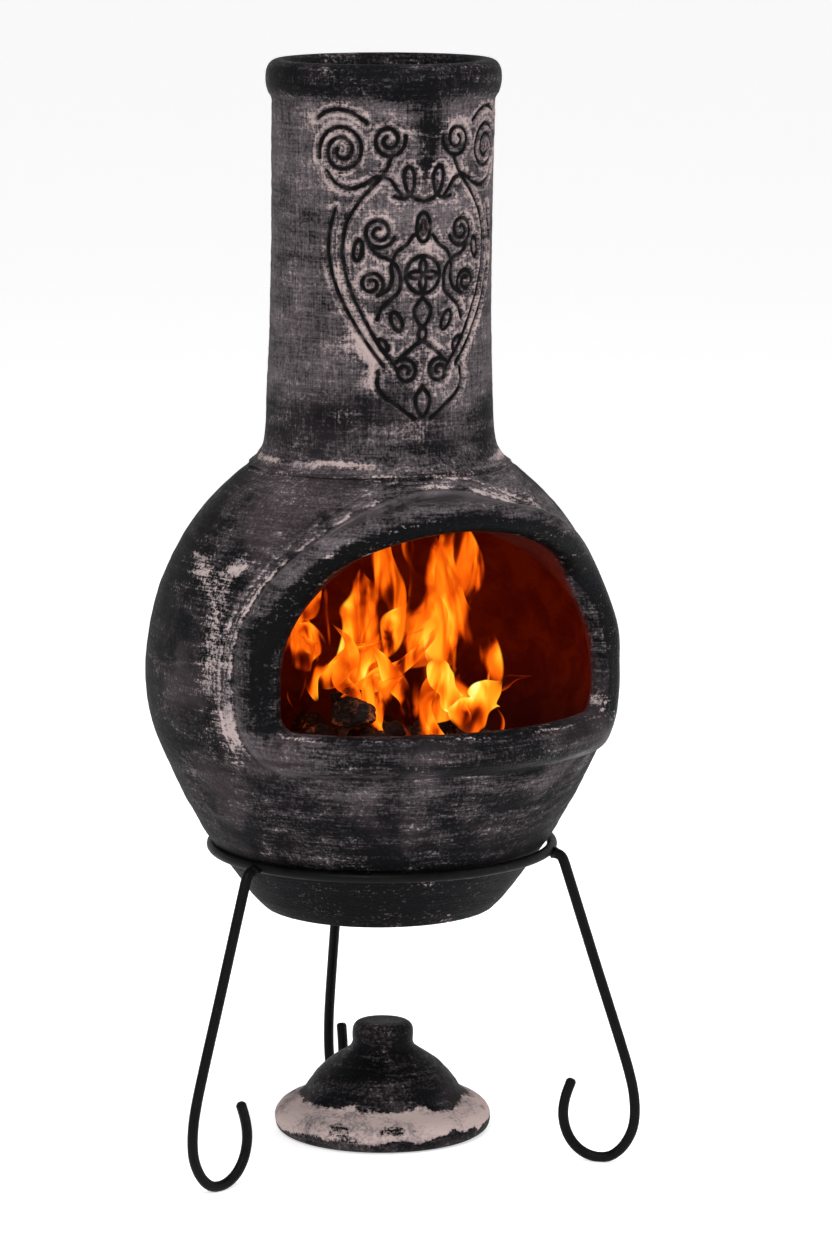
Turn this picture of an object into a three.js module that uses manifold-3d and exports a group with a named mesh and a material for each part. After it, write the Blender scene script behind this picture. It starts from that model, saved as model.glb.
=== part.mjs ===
// Clay chiminea: a fired-clay fire bowl with a chimney luted on top, a loose clay lid,
// a three-legged round-bar stand, a protective bed of sand and a heap of charcoal.
// Millimetres, +Z up. The origin is on the floor, under the flue's axis. The mouth faces -Y.
import * as THREE from "three";
import { mergeVertices } from "three/addons/utils/BufferGeometryUtils.js";
import Module from "manifold-3d";

const wasm = await Module();
wasm.setup();

// ---------------------------------------------------------------- driving dimensions
const SEG = 48; // facets round every turned piece
const GAP = 0.3; // clearance between touching pieces

const ROD_R = 5; // 10 mm round bar
const RING_Z = 304; // height of the ring's centreline
const LEG_ANGLES = { leg_left: -67.5, leg_right: 54.5, leg_rear: 170.4 }; // degrees from the mouth, towards +X
const FOOT_FLAT = 0.6; // depth of the flat worn on the underside of each foot

const BOWL_BASE_Z = 243; // underside of the bowl
const SEAM_Z = 674; // luted joint between bowl and chimney
const FLUE_R = 88;

const MOUTH_HALF = 181.5; // half width of the mouth, measured round the bowl
const MOUTH_SILL_Z = 446;
const MOUTH_SPRING_Z = 505; // where the arch starts
const MOUTH_RISE = 127; // height of the arch
const MOUTH_CORNER = 18;
const WRAP_R = 214; // radius at which MOUTH_HALF is measured
const FRAME_R_SIDE = 21.5; // half thickness of the rolled frame at the sides
const FRAME_R_TOP = 15.5;
const FRAME_R_SILL = 18.5;
const SILL_PROUD = 23; // how far the sill's roll stands out from its middle

const SAND_TOP_Z = 387;
const LID_CENTRE = [29.8, 72.1];

// ---------------------------------------------------------------- helpers
const deg = (a) => (a * Math.PI) / 180;

// A closed geometry as a manifold-3d solid.
function solid(geometry) {
  const bare = geometry.index ? geometry.toNonIndexed() : geometry.clone();
  const g = new THREE.BufferGeometry().setAttribute("position", bare.getAttribute("position"));
  const merged = mergeVertices(g, 1e-3);
  const ix = merged.index.array;
  const keep = [];
  for (let i = 0; i < ix.length; i += 3)
    if (ix[i] !== ix[i + 1] && ix[i + 1] !== ix[i + 2] && ix[i] !== ix[i + 2]) keep.push(ix[i], ix[i + 1], ix[i + 2]);
  const make = (tri) =>
    new wasm.Manifold(
      new wasm.Mesh({ numProp: 3, vertProperties: merged.attributes.position.array, triVerts: new Uint32Array(tri) }),
    );
  const made = make(keep);
  if (made.volume() >= 0) return made;
  const turned = [];
  for (let i = 0; i < keep.length; i += 3) turned.push(keep[i], keep[i + 2], keep[i + 1]);
  return make(turned);
}

// A manifold-3d solid as a geometry.
function geometryOf(s) {
  const m = s.getMesh();
  const v = new Float32Array(m.numVert * 3);
  for (let i = 0; i < m.numVert; i++) v.set(m.vertProperties.subarray(i * m.numProp, i * m.numProp + 3), i * 3);
  const g = new THREE.BufferGeometry();
  g.setAttribute("position", new THREE.BufferAttribute(v, 3));
  g.setIndex(new THREE.BufferAttribute(new Uint32Array(m.triVerts), 1));
  g.computeVertexNormals();
  return g;
}

// A profile of [radius, height] pairs turned about Z.
function turned(profile, segments = SEG) {
  return new THREE.LatheGeometry(
    profile.map(([r, z]) => new THREE.Vector2(r, z)),
    segments,
  ).rotateX(Math.PI / 2);
}

function lerpProfile(profile, z) {
  for (let i = 1; i < profile.length; i++) {
    const [r0, z0] = profile[i - 1];
    const [r1, z1] = profile[i];
    if (z >= z0 && z <= z1 && z1 > z0) return r0 + ((r1 - r0) * (z - z0)) / (z1 - z0);
  }
  return profile[profile.length - 1][0];
}

const smooth = (t) => {
  const x = Math.min(1, Math.max(0, t));
  return x * x * (3 - 2 * x);
};

// A point given round the wrap cylinder: s along it, z up, rho out from the flue's axis.
const wrap = (s, z, rho) => [rho * Math.sin(s / WRAP_R), -rho * Math.cos(s / WRAP_R), z];

// ---------------------------------------------------------------- materials
const clay = new THREE.MeshStandardMaterial({ name: "clay", color: 0x2f2c30, roughness: 0.88, metalness: 0 });
const iron = new THREE.MeshStandardMaterial({ name: "black_steel", color: 0x0d0d0f, roughness: 0.5, metalness: 0.3 });
const sand = new THREE.MeshStandardMaterial({ name: "sand", color: 0x4a3a30, roughness: 1, metalness: 0 });
const charcoal = new THREE.MeshStandardMaterial({ name: "charcoal", color: 0x161414, roughness: 0.95, metalness: 0 });

const chiminea = new THREE.Group();
function add(name, geometry, material) {
  const mesh = new THREE.Mesh(geometry, material);
  mesh.name = name;
  chiminea.add(mesh);
  return mesh;
}

// ---------------------------------------------------------------- fire bowl
const bowlOuter = [
  [0, BOWL_BASE_Z], [108, BOWL_BASE_Z], [113, 247], [121.4, 256], [139.5, 281], [161.5, 310], [179.3, 340],
  [200, 380], [209, 400], [217, 420], [222.8, 442], [225.8, 475], [223.2, 506], [216.2, 540], [201.2, 580],
  [190.4, 600], [177.2, 620], [160.6, 640], [142, 658], [130, 668], [123, SEAM_Z],
];
const bowlInner = [
  [0, 263], [99, 263], [112, 270], [139, 302], [162, 340], [183, 380], [199, 420], [205, 442], [208, 478],
  [203.5, 515], [191.5, 558], [169.5, 599], [138.5, 639], [102, 665], [FLUE_R, SEAM_Z],
];
const outerSolid = solid(turned([...bowlOuter, [0, SEAM_Z]]));
const cavity = solid(turned([...bowlInner, [FLUE_R, SEAM_Z + 30], [0, SEAM_Z + 30]]));

// The rolled frame round the mouth: a torus bent to the arch and wrapped round the bowl, with a straight root into the wall.
function mouthFrame() {
  const centre = [];
  const side = MOUTH_HALF + FRAME_R_SIDE;
  const sill = MOUTH_SILL_Z - FRAME_R_SILL;
  const corner = MOUTH_CORNER + FRAME_R_SIDE;
  for (let i = -12; i <= 12; i++) {
    const a = (i / 12) * (Math.PI / 2);
    centre.push([side * Math.sin(a), MOUTH_SPRING_Z + (MOUTH_RISE + FRAME_R_TOP) * Math.cos(a)]);
  }
  centre.push([side, 484]);
  for (let i = 0; i <= 4; i++) {
    const a = (i / 4) * (Math.PI / 2);
    centre.push([side - corner + corner * Math.cos(a), sill + corner - corner * Math.sin(a)]);
  }
  for (let i = 1; i < 6; i++) centre.push([(side - corner) * (1 - i / 3), sill]);
  for (let i = 0; i <= 4; i++) {
    const a = (i / 4) * (Math.PI / 2);
    centre.push([-side + corner - corner * Math.sin(a), sill + corner - corner * Math.cos(a)]);
  }
  centre.push([-side, 484]);
  const n = centre.length;
  const section = 10; // nine points on the roll, then two at the root
  const g = new THREE.TorusGeometry(1, 0.3, section + 1, n);
  const pos = g.getAttribute("position");
  for (let j = 0; j <= section + 1; j++)
    for (let i = 0; i <= n; i++) {
      const [s, z] = centre[i % n];
      const [s0, z0] = centre[(i - 1 + n) % n];
      const [s1, z1] = centre[(i + 1) % n];
      const l = Math.hypot(s1 - s0, z1 - z0);
      const ns = -(z1 - z0) / l;
      const nz = (s1 - s0) / l; // outward from the mouth
      const up = Math.max(0, (z - MOUTH_SPRING_Z) / (MOUTH_RISE + FRAME_R_TOP));
      const down = z < MOUTH_SPRING_Z - 42 ? 1 - Math.min(1, Math.abs(s) / side) ** 2 : 0;
      const shoulder = 4 * up ** 2 * (1 - up ** 2);
      const r = FRAME_R_SIDE + (FRAME_R_TOP - FRAME_R_SIDE) * up ** 2 + (FRAME_R_SILL - FRAME_R_SIDE) * Math.sqrt(down);
      const proud = r + (SILL_PROUD - FRAME_R_SILL) * Math.sqrt(down);
      // the arch follows the bowl in at the shoulders and stands out as a hood over the middle
      const rho = 211 - 13 * smooth(up / 0.6) + 4 * smooth((up - 0.6) / 0.4) + 5.5 * down;
      const root = 16 + 46 * up ** 2;
      const k = j % (section + 1);
      let a;
      let b;
      if (k < 8) {
        a = r * Math.cos((k / 8) * Math.PI);
        b = proud * Math.sin((k / 8) * Math.PI);
      } else {
        // the inner side runs a little into the opening, where the cutter trims it
        a = k === 8 ? -r - 1 : k === 9 ? -r - 4 : r + 3 + 11 * shoulder;
        b = k === 8 ? 0 : -root;
      }
      const p = wrap(s + a * ns, z + a * nz, rho + b);
      pos.setXYZ(j * (n + 1) + i, ...p);
    }
  return solid(g);
}

// The mouth's cutter: the D-shaped opening, extruded and wrapped so that its jambs run towards the flue's axis.
function mouthCutter() {
  const outline = [];
  const h = MOUTH_HALF;
  const c = MOUTH_CORNER;
  for (let i = 0; i <= 24; i++) {
    const a = (i / 24) * Math.PI;
    outline.push([h * Math.cos(a), MOUTH_SPRING_Z + MOUTH_RISE * Math.sin(a)]);
  }
  for (let i = 0; i <= 4; i++) {
    const a = Math.PI + ((i / 4) * Math.PI) / 2;
    outline.push([-h + c + c * Math.cos(a), MOUTH_SILL_Z + c + c * Math.sin(a)]);
  }
  for (let i = 1; i < 8; i++) outline.push([(h - c) * (-1 + i / 4), MOUTH_SILL_Z]);
  for (let i = 0; i <= 4; i++) {
    const a = -Math.PI / 2 + ((i / 4) * Math.PI) / 2;
    outline.push([h - c + c * Math.cos(a), MOUTH_SILL_Z + c + c * Math.sin(a)]);
  }
  const d = new THREE.Shape(outline.map(([s, z]) => new THREE.Vector2(s, z)));
  const reach = [90, 180, 197, 214, 231, 248, 420]; // stations through the wall, from the flue's axis
  const g = new THREE.ExtrudeGeometry(d, { depth: 1, steps: reach.length - 1, bevelEnabled: false });
  const pos = g.getAttribute("position");
  for (let i = 0; i < pos.count; i++) {
    const k = Math.round(pos.getZ(i) * (reach.length - 1));
    pos.setXYZ(i, ...wrap(pos.getX(i), pos.getY(i), reach[k]));
  }
  return solid(g);
}
const bowl = outerSolid.add(mouthFrame()).subtract(cavity).subtract(mouthCutter());
add("fire_bowl", geometryOf(bowl), clay);

// ---------------------------------------------------------------- chimney
add(
  "chimney",
  turned([
    [FLUE_R, SEAM_Z + GAP], [122.5, SEAM_Z + GAP], [120, 677.5], [116.5, 681], [113.4, 686], [111, 692], [109.3, 701],
    [108.2, 716], [107.1, 750], [105.8, 790], [104.9, 845], [104.5, 900], [104.8, 960], [105, 1008], [105, 1019],
    [108, 1023.5], [110.5, 1031], [111.2, 1039.5], [109.9, 1047.5], [106, 1053.2], [100, 1056], [94.5, 1054.5],
    [90.5, 1050], [88.6, 1043], [FLUE_R, 1033], [FLUE_R, SEAM_Z + GAP],
  ]),
  clay,
);

// ---------------------------------------------------------------- sand bed
const sandSide = bowlInner.filter(([r, z]) => r > 0 && z < SAND_TOP_Z - 2).map(([r, z]) => [r - 0.5, z + 0.4]);
add(
  "sand_bed",
  turned([[0, 263.4], ...sandSide, [lerpProfile(bowlInner, SAND_TOP_Z) - 0.7, SAND_TOP_Z], [0, SAND_TOP_Z]]),
  sand,
);

// ---------------------------------------------------------------- charcoal heap
// Each lump: x, y, half sizes, turn about Z, tilt, and what height its lowest point rests at.
const lumps = [
  [-100, -66, 29, 21, 19, 25, 8, SAND_TOP_Z],
  [-46, -92, 26, 20, 21, 80, -6, SAND_TOP_Z],
  [8, -97, 27, 18, 18, -12, 10, SAND_TOP_Z],
  [64, -82, 25, 19, 20, 40, 5, SAND_TOP_Z],
  [-82, -10, 28, 21, 22, -30, 7, SAND_TOP_Z],
  [-22, -38, 27, 21, 22, 10, -9, SAND_TOP_Z],
  [36, -33, 25, 20, 19, 95, 6, SAND_TOP_Z],
  [-54, 46, 27, 21, 20, 55, -7, SAND_TOP_Z],
  [4, 20, 26, 21, 20, -20, 9, SAND_TOP_Z],
  [66, 24, 25, 18, 17, 20, -4, SAND_TOP_Z],
  [-52, -58, 23, 16, 15, -40, 6, 430],
  [-32, -4, 23, 17, 15, 30, -6, 431],
];
lumps.forEach(([x, y, a, b, c, turn, tilt, rest], k) => {
  const g = new THREE.IcosahedronGeometry(1, 1);
  const pos = g.getAttribute("position");
  for (let i = 0; i < pos.count; i++) {
    const v = new THREE.Vector3().fromBufferAttribute(pos, i);
    // broken, blocky faces: a few fixed waves that differ from lump to lump
    const w = 1 + 0.09 * Math.sin(3.1 * v.x + 2.3 * v.y + k) + 0.08 * Math.sin(4.3 * v.z - 2.9 * v.x + 2 * k);
    v.set(Math.sign(v.x) * Math.abs(v.x) ** 0.85, Math.sign(v.y) * Math.abs(v.y) ** 0.85, Math.sign(v.z) * Math.abs(v.z) ** 0.85);
    pos.setXYZ(i, v.x * a * w, v.y * b * w, v.z * c * w);
  }
  g.rotateX(deg(tilt)).rotateY(deg(tilt * 0.7)).rotateZ(deg(turn));
  g.computeBoundingBox();
  g.translate(x, y, rest + GAP - g.boundingBox.min.z);
  g.computeVertexNormals();
  add("charcoal_" + String(k + 1).padStart(2, "0"), g, charcoal);
});

// ---------------------------------------------------------------- stand ring
// The ring's radius is where the bar just touches the bowl's flank.
function ringRadius() {
  for (let r = 140; r < 200; r += 0.02) {
    let least = 1e9;
    for (let z = 280; z < 330; z += 0.25) least = Math.min(least, Math.hypot(r - lerpProfile(bowlOuter, z), RING_Z - z));
    if (r > lerpProfile(bowlOuter, RING_Z) && least >= ROD_R + GAP) return r;
  }
  throw new Error("the ring does not reach the bowl");
}
const RING_R = ringRadius();
add("stand_ring", new THREE.TorusGeometry(RING_R, ROD_R, 10, SEG), iron).position.z = RING_Z;

// ---------------------------------------------------------------- legs
// One bar each: a short stub welded to the outside of the ring, a bend, a straight shank and a curled foot.
// Stations are [distance from the flue's axis, height], closer together in the bends.
const STUB_Z = RING_Z - 3;
const FOOT_Z = ROD_R - FOOT_FLAT;
const legPath = [
  [RING_R + ROD_R + GAP, STUB_Z], [RING_R + 8.8, STUB_Z - 0.3], [RING_R + 12.6, STUB_Z - 2.4],
  [RING_R + 15.2, STUB_Z - 7], [181.8, 285], [186.6, 270], [211.4, 192], [236.6, 114], [243.2, 92], [247.8, 72],
  [249.5, 54], [248.2, 38], [243.2, 24.4], [235.2, 13.2], [225.4, 6.2], [214.5, FOOT_Z], [203.6, 6.6], [193.6, 12.6],
  [185.6, 22.4], [180.8, 34.5], [179.4, 47.5], [181.6, 62], [187.8, 80],
];
function legGeometry() {
  const spine = new THREE.CatmullRomCurve3(legPath.map(([r, z]) => new THREE.Vector3(r, 0, z)), false, "centripetal");
  spine.getPointAt = spine.getPoint; // one cross-section at each station
  spine.getTangentAt = spine.getTangent;
  const section = new THREE.Shape();
  for (let i = 0; i < 10; i++) {
    const a = deg(36 * i + 18);
    if (i === 0) section.moveTo(ROD_R * Math.cos(a), ROD_R * Math.sin(a));
    else section.lineTo(ROD_R * Math.cos(a), ROD_R * Math.sin(a));
  }
  section.closePath();
  const bar = new THREE.ExtrudeGeometry(section, { steps: legPath.length - 1, bevelEnabled: false, extrudePath: spine });
  const floor = new THREE.BoxGeometry(200, 60, 20).translate(215, 0, -10);
  return geometryOf(solid(bar).subtract(solid(floor)));
}
for (const [name, angle] of Object.entries(LEG_ANGLES)) add(name, legGeometry(), iron).rotation.z = deg(angle - 90);

// ---------------------------------------------------------------- lid
const lid = add(
  "lid",
  turned([
    [96, 0], [100.8, 1.6], [104.8, 7], [106.2, 14.5], [103.8, 21.5], [98.5, 26.5], [90.5, 30.8], [82, 35], [77, 40],
    [73, 46.5], [66.5, 55.5], [57.5, 64.8], [46.5, 73], [36.5, 79.2], [31, 83.5], [29.4, 88], [29.9, 97], [28.9, 103.4],
    [25, 107.8], [18, 109], [0, 109], [0, 69], [22, 67], [40, 59.5], [55, 47], [65, 33], [75, 20], [84, 10], [87, 3],
    [90, 0], [96, 0],
  ]),
  clay,
);
lid.position.set(LID_CENTRE[0], LID_CENTRE[1], 0);

export default chiminea;
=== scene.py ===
"""Looks of the chiminea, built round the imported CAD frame. Metres in Blender; the mesh code works in millimetres."""
import math

import bpy
import numpy as np
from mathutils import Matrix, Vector


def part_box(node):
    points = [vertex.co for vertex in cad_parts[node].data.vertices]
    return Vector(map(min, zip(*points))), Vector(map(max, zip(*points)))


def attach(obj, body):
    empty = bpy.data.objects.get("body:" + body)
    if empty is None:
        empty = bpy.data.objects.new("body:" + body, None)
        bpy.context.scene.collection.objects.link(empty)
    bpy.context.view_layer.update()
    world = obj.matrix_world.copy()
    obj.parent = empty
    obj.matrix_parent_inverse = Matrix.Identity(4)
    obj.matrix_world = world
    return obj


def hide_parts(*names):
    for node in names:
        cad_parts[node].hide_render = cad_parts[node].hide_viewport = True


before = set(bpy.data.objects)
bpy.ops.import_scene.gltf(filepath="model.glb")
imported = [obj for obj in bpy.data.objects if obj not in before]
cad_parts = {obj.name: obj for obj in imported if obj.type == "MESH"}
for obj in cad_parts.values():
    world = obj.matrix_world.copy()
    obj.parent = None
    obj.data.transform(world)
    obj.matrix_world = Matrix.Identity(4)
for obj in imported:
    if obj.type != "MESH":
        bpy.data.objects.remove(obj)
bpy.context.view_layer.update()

scene = bpy.context.scene
MM = 0.001

# ----------------------------------------------------------------------------------------------- camera
camera_data = bpy.data.cameras.new("camera")
camera_data.sensor_width = 36.0
camera_data.sensor_fit = "AUTO"
camera_data.lens = 151.44
camera_data.clip_start = 0.1
camera_data.clip_end = 200.0
camera = bpy.data.objects.new("camera", camera_data)
camera.location = (-1.8638, -4.5859, 1.345)
camera.rotation_euler = (math.radians(80.5), 0.0, math.radians(-22.5))
scene.collection.objects.link(camera)
scene.camera = camera
scene.view_settings.view_transform = "Standard"
scene.view_settings.look = "None"
scene.view_settings.exposure = 0.0
scene.view_settings.gamma = 1.0

VIEW_AZ = math.radians(-22.5)


# ----------------------------------------------------------------------------------------------- small maths
def smooth(t):
    t = np.clip(t, 0.0, 1.0)
    return t * t * (3.0 - 2.0 * t)


def ramp(x, a, b):
    """0 at a, 1 at b, smooth between."""
    return smooth((x - a) / (b - a))


def bump(x, centre, half, soft):
    """1 inside centre +- half, fading to 0 over soft."""
    return 1.0 - ramp(np.abs(x - centre), half, half + soft)


def _lattice(ix, iy, iz, seed):
    n = (
        ix.astype(np.uint64) * np.uint64(73856093)
        ^ iy.astype(np.uint64) * np.uint64(19349663)
        ^ iz.astype(np.uint64) * np.uint64(83492791)
        ^ np.uint64(seed * 2654435761 % 4294967296)
    )
    n = (n ^ (n >> np.uint64(13))) * np.uint64(1274126177)
    n = (n ^ (n >> np.uint64(16))) & np.uint64(0xFFFFFF)
    return n.astype(np.float64) / 8388607.5 - 1.0


def noise3(p, size, seed):
    """Value noise in -1..1 with cells of the given size (one number, or one per axis)."""
    q = p / np.asarray(size, float) + 4096.0
    i = np.floor(q).astype(np.int64)
    f = q - i
    f = f * f * f * (f * (f * 6 - 15) + 10)
    x, y, z = i[:, 0], i[:, 1], i[:, 2]
    out = 0.0
    for dx in (0, 1):
        wx = f[:, 0] if dx else 1 - f[:, 0]
        for dy in (0, 1):
            wy = f[:, 1] if dy else 1 - f[:, 1]
            for dz in (0, 1):
                wz = f[:, 2] if dz else 1 - f[:, 2]
                out = out + wx * wy * wz * _lattice(x + dx, y + dy, z + dz, seed)
    return out


def fbm(p, size, seed, octaves=3, gain=0.5):
    size = np.asarray(size, float)
    total, amp, norm = 0.0, 1.0, 0.0
    for k in range(octaves):
        total = total + amp * noise3(p + 37.0 * k, size / 2.0**k, seed + 11 * k)
        norm += amp
        amp *= gain
    return total / norm


def catmull(points, per=8, closed=False):
    """Centripetal Catmull-Rom through the points, with per pieces to each span."""
    P = np.asarray(points, float)
    if closed:
        P = np.vstack([P[-1], P, P[0], P[1]])
    else:
        P = np.vstack([2 * P[0] - P[1], P, 2 * P[-1] - P[-2]])
    out = []
    for i in range(1, len(P) - 2):
        p0, p1, p2, p3 = P[i - 1], P[i], P[i + 1], P[i + 2]
        d1 = max(np.linalg.norm(p1 - p0) ** 0.5, 1e-4)
        d2 = max(np.linalg.norm(p2 - p1) ** 0.5, 1e-4)
        d3 = max(np.linalg.norm(p3 - p2) ** 0.5, 1e-4)
        m1 = d2 * ((p1 - p0) / d1 - (p2 - p0) / (d1 + d2) + (p2 - p1) / d2)
        m2 = d2 * ((p2 - p1) / d2 - (p3 - p1) / (d2 + d3) + (p3 - p2) / d3)
        for k in range(per):
            t = k / per
            out.append(
                (2 * t**3 - 3 * t**2 + 1) * p1
                + (t**3 - 2 * t**2 + t) * m1
                + (-2 * t**3 + 3 * t**2) * p2
                + (t**3 - t**2) * m2
            )
    if not closed:
        out.append(P[-2])
    return np.array(out)


def seg_distance(px, py, poly, closed=True, want_index=False):
    """Distance from each point to a polyline, and which segment and where on it."""
    best = np.full(px.shape, 1e9)
    where = np.zeros(px.shape)
    n = len(poly)
    count = n if closed else n - 1
    for i in range(count):
        a, b = poly[i], poly[(i + 1) % n]
        ab = b - a
        L = ab @ ab
        if L < 1e-12:
            continue
        t = np.clip(((px - a[0]) * ab[0] + (py - a[1]) * ab[1]) / L, 0, 1)
        d = (px - a[0] - t * ab[0]) ** 2 + (py - a[1] - t * ab[1]) ** 2
        m = d < best
        best = np.where(m, d, best)
        if want_index:
            where = np.where(m, i + t, where)
    best = np.sqrt(best)
    return (best, where) if want_index else best


def inside_poly(px, py, poly):
    res = np.zeros(px.shape, bool)
    n = len(poly)
    for i in range(n):
        x1, y1 = poly[i]
        x2, y2 = poly[(i + 1) % n]
        if y1 == y2:
            continue
        c = ((y1 > py) != (y2 > py)) & (px < (x2 - x1) * (py - y1) / (y2 - y1) + x1)
        res ^= c
    return res


def signed(px, py, poly):
    d = seg_distance(px, py, poly)
    return np.where(inside_poly(px, py, poly), -d, d)


class Grid2:
    """A table over a rectangle, read back by linear interpolation."""

    def __init__(self, x0, x1, y0, y1, step, fn):
        self.x0, self.y0, self.step = x0, y0, step
        self.nx, self.ny = int((x1 - x0) / step) + 1, int((y1 - y0) / step) + 1
        X, Y = np.meshgrid(
            x0 + step * np.arange(self.nx), y0 + step * np.arange(self.ny), indexing="ij"
        )
        self.v = fn(X, Y)

    def __call__(self, x, y):
        fx = np.clip((x - self.x0) / self.step, 0, self.nx - 1.001)
        fy = np.clip((y - self.y0) / self.step, 0, self.ny - 1.001)
        i, j = fx.astype(np.int64), fy.astype(np.int64)
        a, b = fx - i, fy - j
        v = self.v
        return (
            v[i, j] * (1 - a) * (1 - b)
            + v[i + 1, j] * a * (1 - b)
            + v[i, j + 1] * (1 - a) * b
            + v[i + 1, j + 1] * a * b
        )


def smin(a, b, k):
    h = np.clip(0.5 + 0.5 * (b - a) / k, 0, 1)
    return b + (a - b) * h - k * h * (1 - h)


def smax(a, b, k):
    return -smin(-a, -b, k)


# ----------------------------------------------------------------------------------------------- mesh helpers
LEAN_Z = np.array([200.0, 300.0, 390.0, 480.0, 600.0, 740.0, 900.0, 1060.0])
LEAN_D = np.array([-2.6, -2.4, -1.2, 0.0, -0.9, -1.6, 0.6, 3.0])


def lean(V):
    """The pot was built by hand and stands a millimetre or two off true: a sideways drift that changes with height."""
    z = V[:, 2]
    fine_z = np.linspace(LEAN_Z[0], LEAN_Z[-1], 200)
    curve = np.interp(fine_z, LEAN_Z, LEAN_D)
    kernel = np.hanning(31)
    padded = np.pad(curve, 15, mode="edge")
    curve = np.convolve(padded, kernel / kernel.sum(), mode="valid")
    d = np.interp(z, fine_z, curve)
    out = V.copy()
    out[:, 0] += d * math.cos(VIEW_AZ)
    out[:, 1] += d * math.sin(VIEW_AZ)
    return out


def make_mesh(name, verts_mm, faces, material=None, attributes=None, flat=False):
    """A mesh object from millimetre points and quads or triangles, with smooth shading and float attributes."""
    mesh = bpy.data.meshes.new(name)
    V = np.asarray(verts_mm, np.float64) * MM
    mesh.vertices.add(len(V))
    mesh.vertices.foreach_set("co", V.astype(np.float32).ravel())
    faces = [np.asarray(f, np.int32) for f in (faces if isinstance(faces, list) else [faces])]
    faces = [f for f in faces if len(f)]
    loops = np.concatenate([f.ravel() for f in faces])
    sizes = np.concatenate([np.full(len(f), f.shape[1], np.int32) for f in faces])
    starts = np.concatenate([[0], np.cumsum(sizes)[:-1]]).astype(np.int32)
    mesh.loops.add(len(loops))
    mesh.loops.foreach_set("vertex_index", loops)
    mesh.polygons.add(len(sizes))
    mesh.polygons.foreach_set("loop_start", starts)
    mesh.polygons.foreach_set("loop_total", sizes)
    mesh.polygons.foreach_set("use_smooth", np.full(len(sizes), not flat))
    mesh.update(calc_edges=True)
    mesh.validate()
    for key, values in (attributes or {}).items():
        a = mesh.attributes.new(key, "FLOAT", "POINT")
        a.data.foreach_set("value", np.asarray(values, np.float32))
    if material is not None:
        mesh.materials.append(material)
    obj = bpy.data.objects.new(name, mesh)
    scene.collection.objects.link(obj)
    return obj


def ring_faces(n_rows, n_cols, base=0, closed_rows=False, flip=False):
    """Quads of a grid whose columns close round, rows open or closed."""
    rows = n_rows if closed_rows else n_rows - 1
    i, j = np.meshgrid(np.arange(rows), np.arange(n_cols), indexing="ij")
    i, j = i.ravel(), j.ravel()
    i2, j2 = (i + 1) % n_rows, (j + 1) % n_cols
    quads = np.stack(
        [base + i * n_cols + j, base + i * n_cols + j2, base + i2 * n_cols + j2, base + i2 * n_cols + j],
        axis=1,
    )
    return quads[:, ::-1] if flip else quads


def vertex_normals(V, quads):
    """Area-weighted normals of a quad mesh."""
    N = np.zeros_like(V)
    d1 = V[quads[:, 2]] - V[quads[:, 0]]
    d2 = V[quads[:, 3]] - V[quads[:, 1]]
    fn = np.cross(d1, d2)
    for c in range(4):
        for axis in range(3):
            N[:, axis] += np.bincount(quads[:, c], fn[:, axis], len(V))
    return N / np.maximum(np.linalg.norm(N, axis=1, keepdims=True), 1e-12)


def sweep(path, radius, sides=20, closed=False, radii=None, cap=True, squash=None):
    """A round bar along a path: points and faces, capped flat at open ends."""
    P = np.asarray(path, float)
    n = len(P)
    if closed:
        T = np.roll(P, -1, 0) - np.roll(P, 1, 0)
    else:
        T = np.gradient(P, axis=0)
    T /= np.linalg.norm(T, axis=1, keepdims=True)
    up = np.array([0.0, 0.0, 1.0]) if abs(T[0][2]) < 0.9 else np.array([1.0, 0.0, 0.0])
    N = up - (up @ T[0]) * T[0]
    N /= np.linalg.norm(N)
    normals = [N]
    for k in range(1, n):
        N = normals[-1] - (normals[-1] @ T[k]) * T[k]
        normals.append(N / np.linalg.norm(N))
    normals = np.array(normals)
    B = np.cross(T, normals)
    R = np.full(n, radius, float) if radii is None else np.asarray(radii, float)
    a = np.linspace(0, 2 * np.pi, sides, endpoint=False)
    ring = (
        P[:, None, :]
        + R[:, None, None] * (np.cos(a)[None, :, None] * normals[:, None, :] + np.sin(a)[None, :, None] * B[:, None, :])
    )
    V = ring.reshape(-1, 3)
    quads = ring_faces(n, sides, closed_rows=closed)
    faces = [quads]
    if not closed and cap:
        V = np.vstack([V, P[0], P[-1]])
        j = np.arange(sides)
        k = (j + 1) % sides
        first = np.stack([k, j, np.full(sides, len(V) - 2)], 1)
        last = np.stack([(n - 1) * sides + j, (n - 1) * sides + k, np.full(sides, len(V) - 1)], 1)
        faces.append(np.vstack([first, last]))
    return V, faces


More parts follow.
